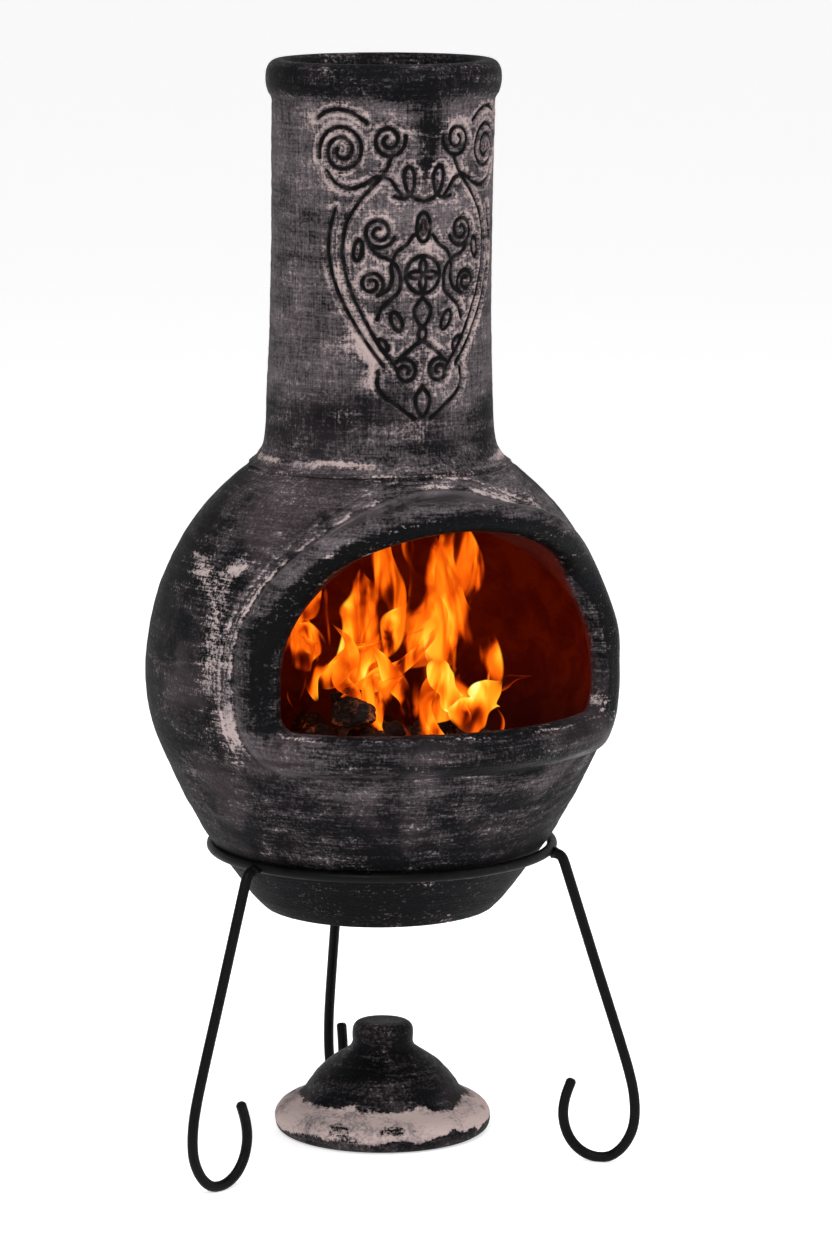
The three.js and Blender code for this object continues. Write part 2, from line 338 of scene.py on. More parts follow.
# ----------------------------------------------------------------------------------------------- node helpers
class Nodes:
    """Short names for building a material."""

    def __init__(self, name):
        self.mat = bpy.data.materials.new(name)
        self.mat.use_nodes = True
        self.t = self.mat.node_tree
        self.t.nodes.clear()
        self.out = self.t.nodes.new("ShaderNodeOutputMaterial")
        self.bsdf = self.t.nodes.new("ShaderNodeBsdfPrincipled")
        self.t.links.new(self.bsdf.outputs["BSDF"], self.out.inputs["Surface"])

    def put(self, socket, value):
        if isinstance(value, bpy.types.NodeSocket):
            self.t.links.new(value, socket)
        else:
            socket.default_value = value

    def coords(self):
        return self.t.nodes.new("ShaderNodeTexCoord").outputs["Object"]

    def scaled(self, vec, sx, sy=None, sz=None, offset=(0, 0, 0)):
        m = self.t.nodes.new("ShaderNodeMapping")
        m.inputs["Scale"].default_value = (sx, sy if sy is not None else sx, sz if sz is not None else sx)
        m.inputs["Location"].default_value = offset
        self.put(m.inputs["Vector"], vec)
        return m.outputs["Vector"]

    def noise(self, vec, scale=1.0, detail=3.0, rough=0.55, distortion=0.0):
        n = self.t.nodes.new("ShaderNodeTexNoise")
        n.inputs["Scale"].default_value = scale
        n.inputs["Detail"].default_value = detail
        n.inputs["Roughness"].default_value = rough
        n.inputs["Distortion"].default_value = distortion
        self.put(n.inputs["Vector"], vec)
        return n.outputs["Fac"]

    def voronoi(self, vec, scale=1.0, feature="F1", randomness=1.0):
        n = self.t.nodes.new("ShaderNodeTexVoronoi")
        n.feature = feature
        n.inputs["Scale"].default_value = scale
        n.inputs["Randomness"].default_value = randomness
        self.put(n.inputs["Vector"], vec)
        return n.outputs["Distance"]

    def math(self, op, a, b=0.0, c=None, clamp=False):
        n = self.t.nodes.new("ShaderNodeMath")
        n.operation = op
        n.use_clamp = clamp
        self.put(n.inputs[0], a)
        self.put(n.inputs[1], b)
        if c is not None:
            self.put(n.inputs[2], c)
        return n.outputs[0]

    def add(self, a, b, clamp=False):
        return self.math("ADD", a, b, clamp=clamp)

    def mul(self, a, b, clamp=False):
        return self.math("MULTIPLY", a, b, clamp=clamp)

    def sub(self, a, b, clamp=False):
        return self.math("SUBTRACT", a, b, clamp=clamp)

    def range(self, x, a, b, lo=0.0, hi=1.0, kind="SMOOTHSTEP"):
        n = self.t.nodes.new("ShaderNodeMapRange")
        n.interpolation_type = kind
        self.put(n.inputs["Value"], x)
        n.inputs["From Min"].default_value = a
        n.inputs["From Max"].default_value = b
        n.inputs["To Min"].default_value = lo
        n.inputs["To Max"].default_value = hi
        return n.outputs["Result"]

    def mix(self, fac, a, b):
        n = self.t.nodes.new("ShaderNodeMix")
        n.data_type = "RGBA"
        self.put(n.inputs[0], fac)
        self.put(n.inputs[6], a if isinstance(a, bpy.types.NodeSocket) else (*a, 1.0))
        self.put(n.inputs[7], b if isinstance(b, bpy.types.NodeSocket) else (*b, 1.0))
        return n.outputs[2]

    def attr(self, name):
        n = self.t.nodes.new("ShaderNodeAttribute")
        n.attribute_name = name
        return n.outputs["Fac"]

    def separate(self, vec):
        n = self.t.nodes.new("ShaderNodeSeparateXYZ")
        self.put(n.inputs[0], vec)
        return n.outputs

    def bump(self, height, distance, strength=1.0, normal=None):
        n = self.t.nodes.new("ShaderNodeBump")
        n.inputs["Distance"].default_value = distance
        n.inputs["Strength"].default_value = strength
        self.put(n.inputs["Height"], height)
        if normal is not None:
            self.put(n.inputs["Normal"], normal)
        return n.outputs["Normal"]

    def set(self, name, value):
        self.put(self.bsdf.inputs[name], value)


# Linear colours
WASH = (0.0021, 0.0020, 0.0024)
WASH_COOL = (0.0016, 0.0020, 0.0028)
MAUVE = (0.104, 0.087, 0.094)
MAUVE_WARM = (0.052, 0.038, 0.042)
SLIP = (0.43, 0.335, 0.315)
SLIP_LOW = (0.185, 0.152, 0.155)
FLECK = (0.25, 0.22, 0.22)
GROOVE = (0.0035, 0.0032, 0.0036)


def clay_material(name, streak=1.0, vertical=0.5, warm=0.3, base_grey=0.0, roll=False, slip_high=SLIP, slip_low=SLIP_LOW, soft=1.0):
    """Fired clay under a dark wash, dry-brushed with pale slip; the grey mask also carries painted shade and painted
    highlights, and inside it is painted near-black red as shade with a painted glow of firelight. Reads the vertex
    attributes pale, grey, groove, gloss, glow_and_painted_firelight and inside.
    """
    k = Nodes(name)
    P = k.coords()

    def wide(n, lo=0.34, hi=0.66):
        return k.range(n, lo, hi, -1.0, 1.0, "LINEAR")

    L = wide(k.noise(k.scaled(P, 36, 36, 560), 1.0, 4.0, 0.68, 0.15))  # fine wiped lines round the pot
    B = wide(k.noise(k.scaled(P, 13, 13, 110, (3, 1, 7)), 1.0, 3.0, 0.6, 0.4))  # wider brush strokes round the pot
    U = wide(k.noise(k.scaled(P, 520, 520, 30, (5, 2, 1)), 1.0, 4.0, 0.66, 0.15))  # strokes along the pot
    C = wide(k.noise(k.scaled(P, 26, 26, 30, (9, 4, 2)), 1.0, 5.0, 0.62, 0.5))  # cloudy patches
    H = wide(k.noise(k.scaled(P, 7, 7, 8, (2, 8, 5)), 1.0, 2.0, 0.5, 0.3))
    S = wide(k.noise(k.scaled(P, 300, 300, 340, (1, 6, 3)), 1.0, 3.0, 0.65))
    G = wide(k.noise(k.scaled(P, 850), 1.0, 2.0, 0.6))
    speck = k.noise(k.scaled(P, 260, 260, 300, (7, 3, 9)), 1.0, 1.5, 0.5)
    pale, grey, groove = k.attr("pale"), k.attr("grey"), k.attr("groove")
    inside, glow_and_painted_firelight, gloss = k.attr("inside"), k.attr("glow_and_painted_firelight"), k.attr("gloss")

    weave = k.add(k.mul(L, 0.17 * streak), k.mul(U, 0.17 * vertical))
    cloud = k.add(k.mul(C, 0.13), k.mul(B, 0.14 * streak))
    fine = k.add(k.mul(S, 0.16), k.mul(G, 0.06))
    every = k.add(k.add(weave, cloud), fine)
    if roll:
        # the rolled frame's outline: a pressed line where it meets the wall, and a fainter one outside it
        off = k.add(k.attr("off"), k.add(k.mul(C, 1.7), k.add(k.mul(B, 1.3), k.mul(S, 0.9))))
        rim = k.add(k.attr("rim"), k.add(k.mul(C, 0.5), k.mul(S, 0.3)))
        show = k.attr("crease")

        def stripe(d, centre, half):
            return k.range(k.math("ABSOLUTE", k.sub(d, centre)), 0.25 * half, half, 1.0, 0.0)

        pressed = k.mul(k.add(stripe(off, 1.6, 2.8), k.mul(stripe(off, 13.5, 2.8), 0.55)), show)
        raised = k.mul(k.add(k.add(stripe(off, 5.0, 2.6), k.mul(stripe(off, 17.0, 2.8), 0.8)), k.mul(stripe(off, 9.5, 1.5), 0.5)), show)
        raised = k.mul(raised, k.range(k.add(C, k.mul(H, 0.7)), -0.9, 0.5))
        pale = k.add(pale, k.sub(k.mul(raised, 0.38), k.mul(pressed, 0.10)))
        grey = k.add(grey, k.sub(k.mul(raised, 0.26), k.mul(pressed, 0.10)))
        lipline = k.mul(stripe(rim, 2.2, 2.2), k.attr("sill"))
        pale = k.add(pale, k.mul(lipline, 0.26))
    g = k.add(k.add(grey, base_grey), every)
    grey_mask = k.range(g, 0.00, 0.86)
    p = k.add(pale, k.add(k.mul(weave, 1.25), k.add(k.mul(cloud, 1.3), k.mul(fine, 1.35))))
    pale_mask = k.range(p, 0.57 - 0.17 * soft, 0.57 + 0.17 * soft)
    flecks = k.mul(k.mul(k.range(speck, 0.61, 0.69), k.range(g, -0.1, 0.50, 0.25, 0.75)), k.range(k.add(C, k.mul(B, 0.6)), -0.5, 0.7, 0.10, 1.0))

    base = k.mix(k.range(H, -0.6, 0.6), WASH, WASH_COOL)
    warm_mask = k.mul(k.mul(k.range(k.add(H, k.mul(C, 0.4)), -0.1, 0.9), k.range(grey, -0.12, 0.22)), warm)
    base = k.mix(warm_mask, base, MAUVE_WARM)
    colour = k.mix(grey_mask, base, MAUVE)
    slip = k.mix(k.range(k.add(k.add(C, k.mul(S, 0.6)), k.mul(k.sub(pale, 0.5), 1.2)), -0.7, 1.0), slip_low, slip_high)
    colour = k.mix(pale_mask, colour, slip)
    colour = k.mix(k.mul(flecks, 0.6), colour, FLECK)
    colour = k.mix(k.range(groove, 0.25, 0.90), colour, GROOVE)
    # inside the bowl and neck the clay is painted a near-black red: painted shade in the hollow, tinted red by painted
    # firelight
    inner = k.mix(k.range(C, -0.6, 0.6), (0.0050, 0.0018, 0.0016), (0.0095, 0.0032, 0.0026))
    colour = k.mix(inside, colour, inner)
    k.set("Base Color", colour)

    r = k.range(k.add(pale_mask, k.mul(grey_mask, 0.5)), 0, 1, 0.60, 0.86, "LINEAR")
    r = k.add(r, k.mul(L, 0.06))
    r = k.sub(r, k.mul(gloss, 0.24))
    r = k.add(r, k.mul(inside, 0.3), clamp=True)
    k.set("Roughness", r)
    k.bsdf.inputs["Specular IOR Level"].default_value = 0.04

    height = k.add(k.mul(L, 0.20), k.mul(U, 0.12 * vertical))
    height = k.add(height, k.mul(C, 0.22))
    height = k.add(height, k.add(k.mul(S, 0.16), k.mul(G, 0.06)))
    height = k.add(height, k.mul(pale_mask, 0.30))
    height = k.add(height, k.range(speck, 0.30, 0.36, -0.7, 0.0))
    if roll:
        height = k.add(height, k.sub(k.mul(raised, 0.9), k.mul(pressed, 0.8)))
    k.set("Normal", k.bump(height, 0.0011, 0.6))

    # painted firelight: the inner wall is given a red glow where the fire would light it; the clay gives no light of
    # its own
    wall_firelight_colour = k.mix(k.range(C, -0.7, 0.7), (0.040, 0.0012, 0.0), (0.062, 0.0028, 0.0))
    k.set("Emission Color", k.mix(glow_and_painted_firelight, (0.0, 0.0, 0.0), wall_firelight_colour))
    k.bsdf.inputs["Emission Strength"].default_value = 1.0
    return k.mat


def steel_material():
    k = Nodes("black_steel")
    P = k.coords()
    fine = k.noise(k.scaled(P, 700), 1.0, 3.0, 0.6)
    mid = k.noise(k.scaled(P, 90), 1.0, 3.0, 0.6)
    chips = k.noise(k.scaled(P, 260), 1.0, 2.0, 0.5)
    base = k.mix(k.range(mid, 0.3, 0.7), (0.0012, 0.0012, 0.0014), (0.0030, 0.0030, 0.0034))
    base = k.mix(k.mul(k.range(chips, 0.72, 0.78), 0.5), base, (0.045, 0.038, 0.034))
    k.set("Base Color", base)
    k.set("Roughness", k.range(mid, 0.3, 0.7, 0.38, 0.56, "LINEAR"))
    k.bsdf.inputs["Metallic"].default_value = 0.0
    k.bsdf.inputs["Specular IOR Level"].default_value = 0.07
    k.set("Normal", k.bump(k.add(k.mul(fine, 0.5), mid), 0.0005, 0.35))
    return k.mat


def sand_material():
    k = Nodes("ash_and_sand")
    P = k.coords()
    fine = k.noise(k.scaled(P, 1200), 1.0, 3.0, 0.7)
    grains = k.voronoi(k.scaled(P, 420), 1.0)
    mid = k.noise(k.scaled(P, 40), 1.0, 4.0, 0.6)
    base = k.mix(k.range(mid, 0.35, 0.7), (0.075, 0.058, 0.046), (0.17, 0.15, 0.135))
    base = k.mix(k.range(fine, 0.35, 0.7, 0.0, 0.6), base, (0.035, 0.028, 0.024))
    k.set("Base Color", base)
    k.bsdf.inputs["Roughness"].default_value = 0.95
    k.bsdf.inputs["Specular IOR Level"].default_value = 0.2
    k.set("Normal", k.bump(k.add(fine, k.mul(grains, 0.8)), 0.0012, 0.7))
    glow_and_painted_firelight = k.attr("glow_and_painted_firelight")
    k.set("Emission Color", k.mix(k.mul(glow_and_painted_firelight, k.range(mid, 0.35, 0.65)), (0.004, 0.0004, 0.0), (0.22, 0.028, 0.002)))
    k.bsdf.inputs["Emission Strength"].default_value = 1.0
    return k.mat


def charcoal_material():
    k = Nodes("charcoal")
    P = k.coords()
    grain = k.noise(k.scaled(P, 160, 160, 700), 1.0, 4.0, 0.65, 0.3)
    blotch = k.noise(k.scaled(P, 65), 1.0, 4.0, 0.6)
    cracks = k.voronoi(k.scaled(P, 95), 1.0, "DISTANCE_TO_EDGE")
    crack = k.range(cracks, 0.0, 0.10, 1.0, 0.0)
    ash = k.range(k.add(blotch, k.mul(k.sub(grain, 0.5), 0.7)), 0.56, 0.72)
    base = k.mix(k.range(grain, 0.3, 0.7), (0.0025, 0.0018, 0.0016), (0.011, 0.007, 0.005))
    base = k.mix(k.mul(ash, 0.65), base, (0.055, 0.036, 0.028))
    k.set("Base Color", base)
    k.set("Roughness", k.range(grain, 0.2, 0.8, 0.5, 0.9, "LINEAR"))
    k.bsdf.inputs["Specular IOR Level"].default_value = 0.15
    k.set("Normal", k.bump(k.add(k.add(k.mul(grain, 0.7), blotch), k.mul(crack, -0.6)), 0.002, 0.8))
    glow_and_painted_firelight = k.attr("glow_and_painted_firelight")
    crack = k.range(cracks, 0.0, 0.05, 1.0, 0.0)
    ember = k.mul(k.mul(crack, k.range(blotch, 0.50, 0.70)), k.mul(glow_and_painted_firelight, 0.55))
    ember = k.add(ember, k.mul(glow_and_painted_firelight, k.mul(k.range(blotch, 0.58, 0.78), 0.20)))
    k.set("Emission Color", k.mix(ember, (0.0022, 0.0002, 0.0), (1.0, 0.16, 0.010)))
    k.bsdf.inputs["Emission Strength"].default_value = 1.4
    return k.mat


# ----------------------------------------------------------------------------------------------- fire bowl
BOWL_OUT = np.array(
    [
        (0, 243.0), (60, 243.0), (104, 243.0), (109.5, 244.6), (113.6, 248.2), (121.4, 256), (131.6, 270), (139.8, 281),
        (151.8, 297), (161.3, 310), (168.1, 320), (179.6, 340), (190.2, 360), (200, 380), (209, 400), (216.8, 420),
        (222.3, 441), (224.9, 460), (225.6, 479), (224.0, 500), (220.6, 520), (216.2, 540), (209.8, 560), (201.2, 580),
        (190.4, 600), (177.2, 620), (160.6, 640), (142, 658), (130, 668), (122.8, 674),
    ],
    float,
)
BOWL_IN = np.array(
    [
        (0, 263), (60, 263), (98, 263), (112, 270), (126, 285.5), (139, 302), (151, 320.5), (162, 340), (183, 380),
        (199, 420), (205, 442), (208, 478), (203.5, 515), (191.5, 558), (169.5, 599), (138.5, 639), (102, 665),
        (91, 672), (88, 680), (88, 700), (0, 700),
    ],
    float,
)
WRAP_R = 214.0
HALF, SILL, SPRING, RISE, CORNER = 181.5, 446.0, 505.0, 127.0, 18.0


def mouth_outline():
    pts = []
    for a in np.linspace(-90, 90, 97):
        a = math.radians(a)
        pts.append((HALF * math.sin(a), SPRING + RISE * math.cos(a)))
    for s in (1, -1):
        cx, cz = s * (HALF - CORNER), SILL + CORNER
        angles = np.linspace(0, 90, 9) if s > 0 else np.linspace(90, 0, 9)
        for a in angles:
            a = math.radians(a)
            pts.append((cx + s * CORNER * math.cos(a), cz - CORNER * math.sin(a)))
    return np.array(pts)


def frame_centre():
    side, sill, corner, rise = 203.0, 427.5, 39.5, 142.5
    pts = []
    for a in np.linspace(-90, 90, 121):
        a = math.radians(a)
        pts.append((side * math.sin(a), SPRING + rise * math.cos(a)))
    for z in np.linspace(SPRING - 6, sill + corner, 8):
        pts.append((side, z))
    for a in np.linspace(0, 90, 13)[1:]:
        a = math.radians(a)
        pts.append((side - corner + corner * math.cos(a), sill + corner - corner * math.sin(a)))
    for s in np.linspace(side - corner, -(side - corner), 60)[1:]:
        pts.append((s, sill))
    for a in np.linspace(90, 0, 13)[1:]:
        a = math.radians(a)
        pts.append((-(side - corner) - corner * math.cos(a), sill + corner - corner * math.sin(a)))
    for z in np.linspace(sill + corner, SPRING - 6, 8)[1:]:
        pts.append((-side, z))
    return np.array(pts)


OUT_CURVE = np.vstack([BOWL_OUT[:2], catmull(BOWL_OUT[2:], 5), [[0, 674]]])
IN_CURVE = np.vstack([BOWL_IN[:2], catmull(BOWL_IN[2:18], 5), BOWL_IN[18:]])
FRAME_LINE = frame_centre()
MOUTH_LINE = mouth_outline()

sd_out = Grid2(-4, 262, 228, 712, 2.0, lambda x, y: signed(x, y, OUT_CURVE))
sd_in = Grid2(-4, 262, 228, 712, 2.0, lambda x, y: signed(x, y, IN_CURVE))
sd_mouth = Grid2(-340, 340, 228, 712, 2.0, lambda x, y: signed(x, y, MOUTH_LINE))


def _frame_tables():
    x0, x1, y0, y1, step = -340, 340, 300, 712, 2.0
    nx, ny = int((x1 - x0) / step) + 1, int((y1 - y0) / step) + 1
    X, Y = np.meshgrid(x0 + step * np.arange(nx), y0 + step * np.arange(ny), indexing="ij")
    d, where = seg_distance(X, Y, FRAME_LINE, want_index=True)
    i = np.clip(where.astype(int), 0, len(FRAME_LINE) - 1)
    f = where - i
    on = FRAME_LINE[i] * (1 - f)[..., None] + FRAME_LINE[(i + 1) % len(FRAME_LINE)] * f[..., None]
    out = []
    for v in (d, on[..., 0], on[..., 1]):
        g = Grid2.__new__(Grid2)
        g.x0, g.y0, g.step, g.nx, g.ny, g.v = x0, y0, step, nx, ny, v
        out.append(g)
    return out


fr_d, fr_s, fr_z = _frame_tables()


def frame_section(s, z):
    """At a place on the frame's centre line: tube radius, distance of its centre from the axis, root depth."""
    up = np.clip((z - SPRING) / 142.5, 0, 1)
    down = np.where(z < 463, 1 - np.minimum(1, np.abs(s) / 203.0) ** 2, 0.0)
    root = np.sqrt(np.maximum(down, 0))
    r = 21.5 - 6 * up**2 - 3 * root
    rho = 211 - 13 * smooth(up / 0.6) + 4 * smooth((up - 0.6) / 0.4) + 5.5 * down
    depth = 16 + 46 * up**2
    return r, rho, depth, up, down


def bowl_field(P, parts=False):
    """Signed distance-like field of the fire bowl, in millimetres; negative inside the clay."""
    x, y, z = P[:, 0], P[:, 1], P[:, 2]
    rho = np.hypot(x, y)
    s = WRAP_R * np.arctan2(x, -y)
    body = sd_out(rho, z)
    near = (s > -330) & (s < 330) & (z > 340)
    f_frame = np.full(len(P), 60.0)
    if near.any():
        sn, zn, rn = s[near], z[near], rho[near]
        d = fr_d(sn, zn)
        r, rc, depth, up, down = frame_section(fr_s(sn, zn), fr_z(sn, zn))
        over = np.where(rn > rc, rn - rc, np.where(rn < rc - depth, rc - depth - rn, 0.0))
        f_frame[near] = np.hypot(d, over) - r
    solid = smin(body, f_frame + 0.8, 7.0)
    solid = smax(solid, z * 0 + (z - 674.0), 1.5)
    m = sd_mouth(s, z)
    m = np.where(np.abs(s) < 335, m, 80.0)
    cut = smax(solid, -(m + 1.6), 6.0)
    hollow = sd_in(rho, z)
    field = smax(cut, -hollow, 5.0)
    if parts:
        return field, body, f_frame, m, hollow
    return field


def surface_net(field, lo, hi, h):
    """Quads of the zero surface of a field, by naive surface nets on a regular grid."""
    n = np.ceil((np.array(hi) - np.array(lo)) / h).astype(int) + 1
    ax = [lo[i] + h * np.arange(n[i]) for i in range(3)]
    F = np.empty(tuple(n))
    for i in range(n[0]):
        Y, Z = np.meshgrid(ax[1], ax[2], indexing="ij")
        P = np.stack([np.full(Y.size, ax[0][i]), Y.ravel(), Z.ravel()], 1)
        F[i] = field(P).reshape(n[1], n[2])
    S = F < 0
    c = [S[:-1, :-1, :-1], S[1:, :-1, :-1], S[:-1, 1:, :-1], S[1:, 1:, :-1], S[:-1, :-1, 1:], S[1:, :-1, 1:], S[:-1, 1:, 1:], S[1:, 1:, 1:]]
    anyc = np.logical_or.reduce(c)
    allc = np.logical_and.reduce(c)
    cells = np.argwhere(anyc & ~allc)
    index = -np.ones(tuple(n - 1), np.int64)
    index[cells[:, 0], cells[:, 1], cells[:, 2]] = np.arange(len(cells))
    corner = np.array([(i & 1, (i >> 1) & 1, (i >> 2) & 1) for i in range(8)])
    vals = np.stack([F[cells[:, 0] + k[0], cells[:, 1] + k[1], cells[:, 2] + k[2]] for k in corner], 1)
    acc, cnt = np.zeros((len(cells), 3)), np.zeros(len(cells))
    for a in range(8):
        for b in range(a + 1, 8):
            if np.abs(corner[a] - corner[b]).sum() != 1:
                continue
            va, vb = vals[:, a], vals[:, b]
            m = (va < 0) != (vb < 0)
            t = np.where(m, va / np.where(m, va - vb, 1), 0)
            acc += np.where(m[:, None], corner[a] + t[:, None] * (corner[b] - corner[a]), 0)
            cnt += m
    V = np.array(lo) + h * (cells + acc / cnt[:, None])
    quads = []
    for axis in range(3):
        o1, o2 = [(1, 2), (2, 0), (0, 1)][axis]
        a = [slice(None)] * 3
        b = [slice(None)] * 3
        a[axis], b[axis] = slice(0, -1), slice(1, None)
        change = S[tuple(a)] != S[tuple(b)]
        e = np.argwhere(change)
        e = e[(e[:, o1] > 0) & (e[:, o2] > 0) & (e[:, o1] < n[o1] - 1) & (e[:, o2] < n[o2] - 1)]
        inside_first = S[e[:, 0], e[:, 1], e[:, 2]]
        q = []
        for d1, d2 in ((-1, -1), (0, -1), (0, 0), (-1, 0)):
            k = e.copy()
            k[:, o1] += d1
            k[:, o2] += d2
            q.append(index[k[:, 0], k[:, 1], k[:, 2]])
        q = np.stack(q, 1)
        q[~inside_first] = q[~inside_first][:, ::-1]
        quads.append(q)
    return V, np.vstack(quads)


def gradient(field, P, e=0.8):
    g = np.stack(
        [field(P + np.eye(3)[i] * e) - field(P - np.eye(3)[i] * e) for i in range(3)], 1
    ) / (2 * e)
    return g


def build_bowl(material):
    h = 4.15
    V, quads = surface_net(bowl_field, (-238, -250, 238), (238, 238, 680), h)
    for _ in range(3):
        f = bowl_field(V)
        g = gradient(bowl_field, V)
        step = f / np.maximum((g**2).sum(1), 0.05)
        V = V - np.clip(step, -2.0, 2.0)[:, None] * g
    f, body, f_frame, m, hollow = bowl_field(V, parts=True)
    x, y, z = V.T
    rho = np.hypot(x, y)
    psi = np.degrees(np.arctan2(x, -y))
    s = WRAP_R * np.radians(psi)
    N = vertex_normals(V, quads)
    # which skin a point is on: near the cavity surface and away from the outside
    inside = ramp(-np.abs(hollow), -4.0, -1.0) * ramp(body, -4.0, -9.0)
    inside = np.where(z > 671, inside * 0.3, inside)
    _, rc, _, _, _ = frame_section(fr_s(s, z), fr_z(s, z))
    # the opening's inner faces are counted with the cavity, so they take its painted shade and painted firelight
    jamb = ramp(-np.abs(m), -8.0, -4.0) * ramp(-rho, -(rc + 1.5), -(rc - 3.5)) * ramp(z, 458, 470)
    inside = np.maximum(inside, jamb)
    outer = 1 - inside

    # the surface's own unevenness: slow lumps from the hand building, wiping ridges round the pot, small dents
    slow = fbm(V, 95.0, 3, 2)
    ridge = fbm(V, (150, 150, 9.0), 5, 2)
    dents = fbm(V, 17.0, 9, 2)
    frame_near = ramp(f_frame, 16.0, 2.0)
    wipe = ridge * (0.42 - 0.25 * frame_near)
    lower = bump(z, 385, 26, 24) * bump(psi, 0, 75, 30)
    stroke = np.sin((z - 8e-4 * s**2) * 2 * np.pi / 13.0 + 1.3 * noise3(V, 70.0, 21)) * 0.38 * lower
    along = noise3(np.stack([fr_d(s, z), psi * 1.3, psi * 0], 1), (5.0, 22.0, 1.0), 33) * 0.35 * ramp(f_frame, 26.0, 8.0)
    o2 = np.clip(f_frame - body, -40, 60)
    beyond = ramp(m, 18, 26) * ramp(z, 395, 412) * (1 - inside)
    pressed = (-0.35 * np.exp(-(((o2 - 2.0) / 4.0) ** 2)) + 0.9 * np.exp(-(((o2 - 9.0) / 4.0) ** 2)) - 0.8 * np.exp(-(((o2 - 15.5) / 3.4) ** 2)) + 0.4 * np.exp(-(((o2 - 22.0) / 4.0) ** 2))) * beyond
    disp = pressed + 0.85 * slow + wipe + 0.22 * dents + stroke + along
    edge = 1 - ramp(-z, -674.0, -668.0)
    seam = ramp(z, 655, 673) * outer
    disp = disp * (1 - 0.6 * inside) * (1 - ramp(z, 671.0, 673.9)) * (1 - ramp(-z, -246.0, -243.2))
    disp = disp + seam * 0.9 * fbm(V, (14, 14, 7), 41, 2) * (1 - ramp(z, 672.5, 673.9))
    V = V + N * (disp * outer + 0.35 * slow * inside)[:, None]
    V[:, 2] = np.minimum(V[:, 2], 674.0)

    # paint masks
    d_mouth = m  # distance outside the opening's edge in the unrolled wall
    crease_d = fr_d(s, z)
    r_here, _, _, up, down = frame_section(fr_s(s, z), fr_z(s, z))
    off = np.clip(f_frame - body, -40, 60)
    outside_side = ramp(d_mouth, 20, 30)
    line = noise3(V, (30, 30, 30), 51)
    crease = np.exp(-(((off - 3.5 - 2.0 * line) / 3.2) ** 2)) * outside_side
    crease2 = np.exp(-(((off - 14.0 - 3.0 * line) / 4.0) ** 2)) * outside_side
    top_left = ramp(psi, 62, 20) * ramp(z, 480, 560)
    left_side = ramp(-psi, 30, 50) * ramp(z, 400, 450) * ramp(-z, -640, -560)
    right_top = bump(psi, 45, 22, 18) * ramp(z, 520, 560)
    front_roll = ramp(-off, -2.0, 4.0) * outer

    show = outside_side * (0.30 + 0.70 * np.maximum(left_side, ramp(z, 520, 590)))
    show = show * (0.25 + 0.75 * ramp(-psi, -66, -30)) * ramp(f_frame, 30.0, 22.0)
    pale = 0.0 * z
    pale += 0.16 * crease * (0.25 + 0.75 * np.maximum(left_side, ramp(z, 540, 600))) * (0.65 + 0.35 * noise3(V, 26.0, 52))
    pale += 0.14 * crease2 * left_side
    pale += 0.16 * right_top * ramp(off, -2, 6) * ramp(-off, -40, -16)
    right_hood = bump(psi, 24, 22, 14) * ramp(z, 548, 580)
    pale += (0.40 * np.exp(-(((off - 2.5) / 4.5) ** 2)) + 0.10 * ramp(off, 8, 20)) * right_hood * outside_side * (0.72 + 0.28 * noise3(V, 22.0, 58))
    pale += 0.36 * bump(psi, 41, 10, 8) * bump(z, 618, 30, 14) * ramp(off, -1, 6) * (0.74 + 0.26 * noise3(V, 13.0, 59))
    over_left = outside_side * np.maximum(left_side, ramp(z, 540, 590) * ramp(-psi, -12, 8))
    pale += 0.22 * np.exp(-(((off - 5.0) / 7.5) ** 2)) * over_left * (0.7 + 0.3 * noise3(V, 18.0, 60))
    grey_band = 0.20 * np.exp(-(((off - 2.0) / 9.0) ** 2)) * over_left
    pale += 0.12 * bump(psi, 60, 3, 5) * bump(z, 530, 40, 30) * ramp(d_mouth, 10, 20)

    def patch(az, zc, waz, wz, turn=0.0, power=2.0):
        a = (psi - az) * 3.7
        b = z - zc
        c, t = math.cos(math.radians(turn)), math.sin(math.radians(turn))
        u, v = a * c + b * t, -a * t + b * c
        q = (np.abs(u) / waz) ** power + (np.abs(v) / wz) ** power
        return np.exp(-q)

    pale += 0.68 * patch(-67.4, 516, 17, 62) * (1 - front_roll)
    pale += 0.78 * patch(-80, 588, 31, 13, -32) + 0.78 * patch(-65.2, 594, 22, 14, 52)
    pale += 0.36 * patch(-60, 446, 11, 46) * (1 - front_roll)
    pale += 0.26 * patch(-88, 548, 14, 30) + 0.18 * patch(-94, 470, 10, 44)
    pale += 0.46 * patch(47, 457, 9, 9) + 0.34 * patch(50, 440, 12, 8)
    seam_wave = 3.0 * noise3(V, 45.0, 61) + 1.5 * noise3(V, 15.0, 62)
    seam_line = ramp(z, 665 + seam_wave, 672)
    gaps = 0.5 + 0.5 * noise3(V, 40.0, 63)
    pale += seam_line * outer * (0.02 + 0.34 * gaps)
    rim = np.exp(-((d_mouth / 2.6) ** 2)) * ramp(-z, -470, -452) * outer
    pale += 0.10 * rim * (0.7 + 0.3 * noise3(V, 35.0, 64))
    pale += 0.20 * ramp(z, 255, 243.5) * outer * (0.5 + 0.5 * noise3(V, 30.0, 65))
    # behind, out of the mouth's way, a few hand-sized worn places
    pale += 0.50 * patch(150, 540, 34, 42) + 0.5 * patch(-142, 470, 30, 50, 20) + 0.42 * patch(104, 480, 24, 60)
    pale += 0.30 * patch(172, 390, 60, 16)

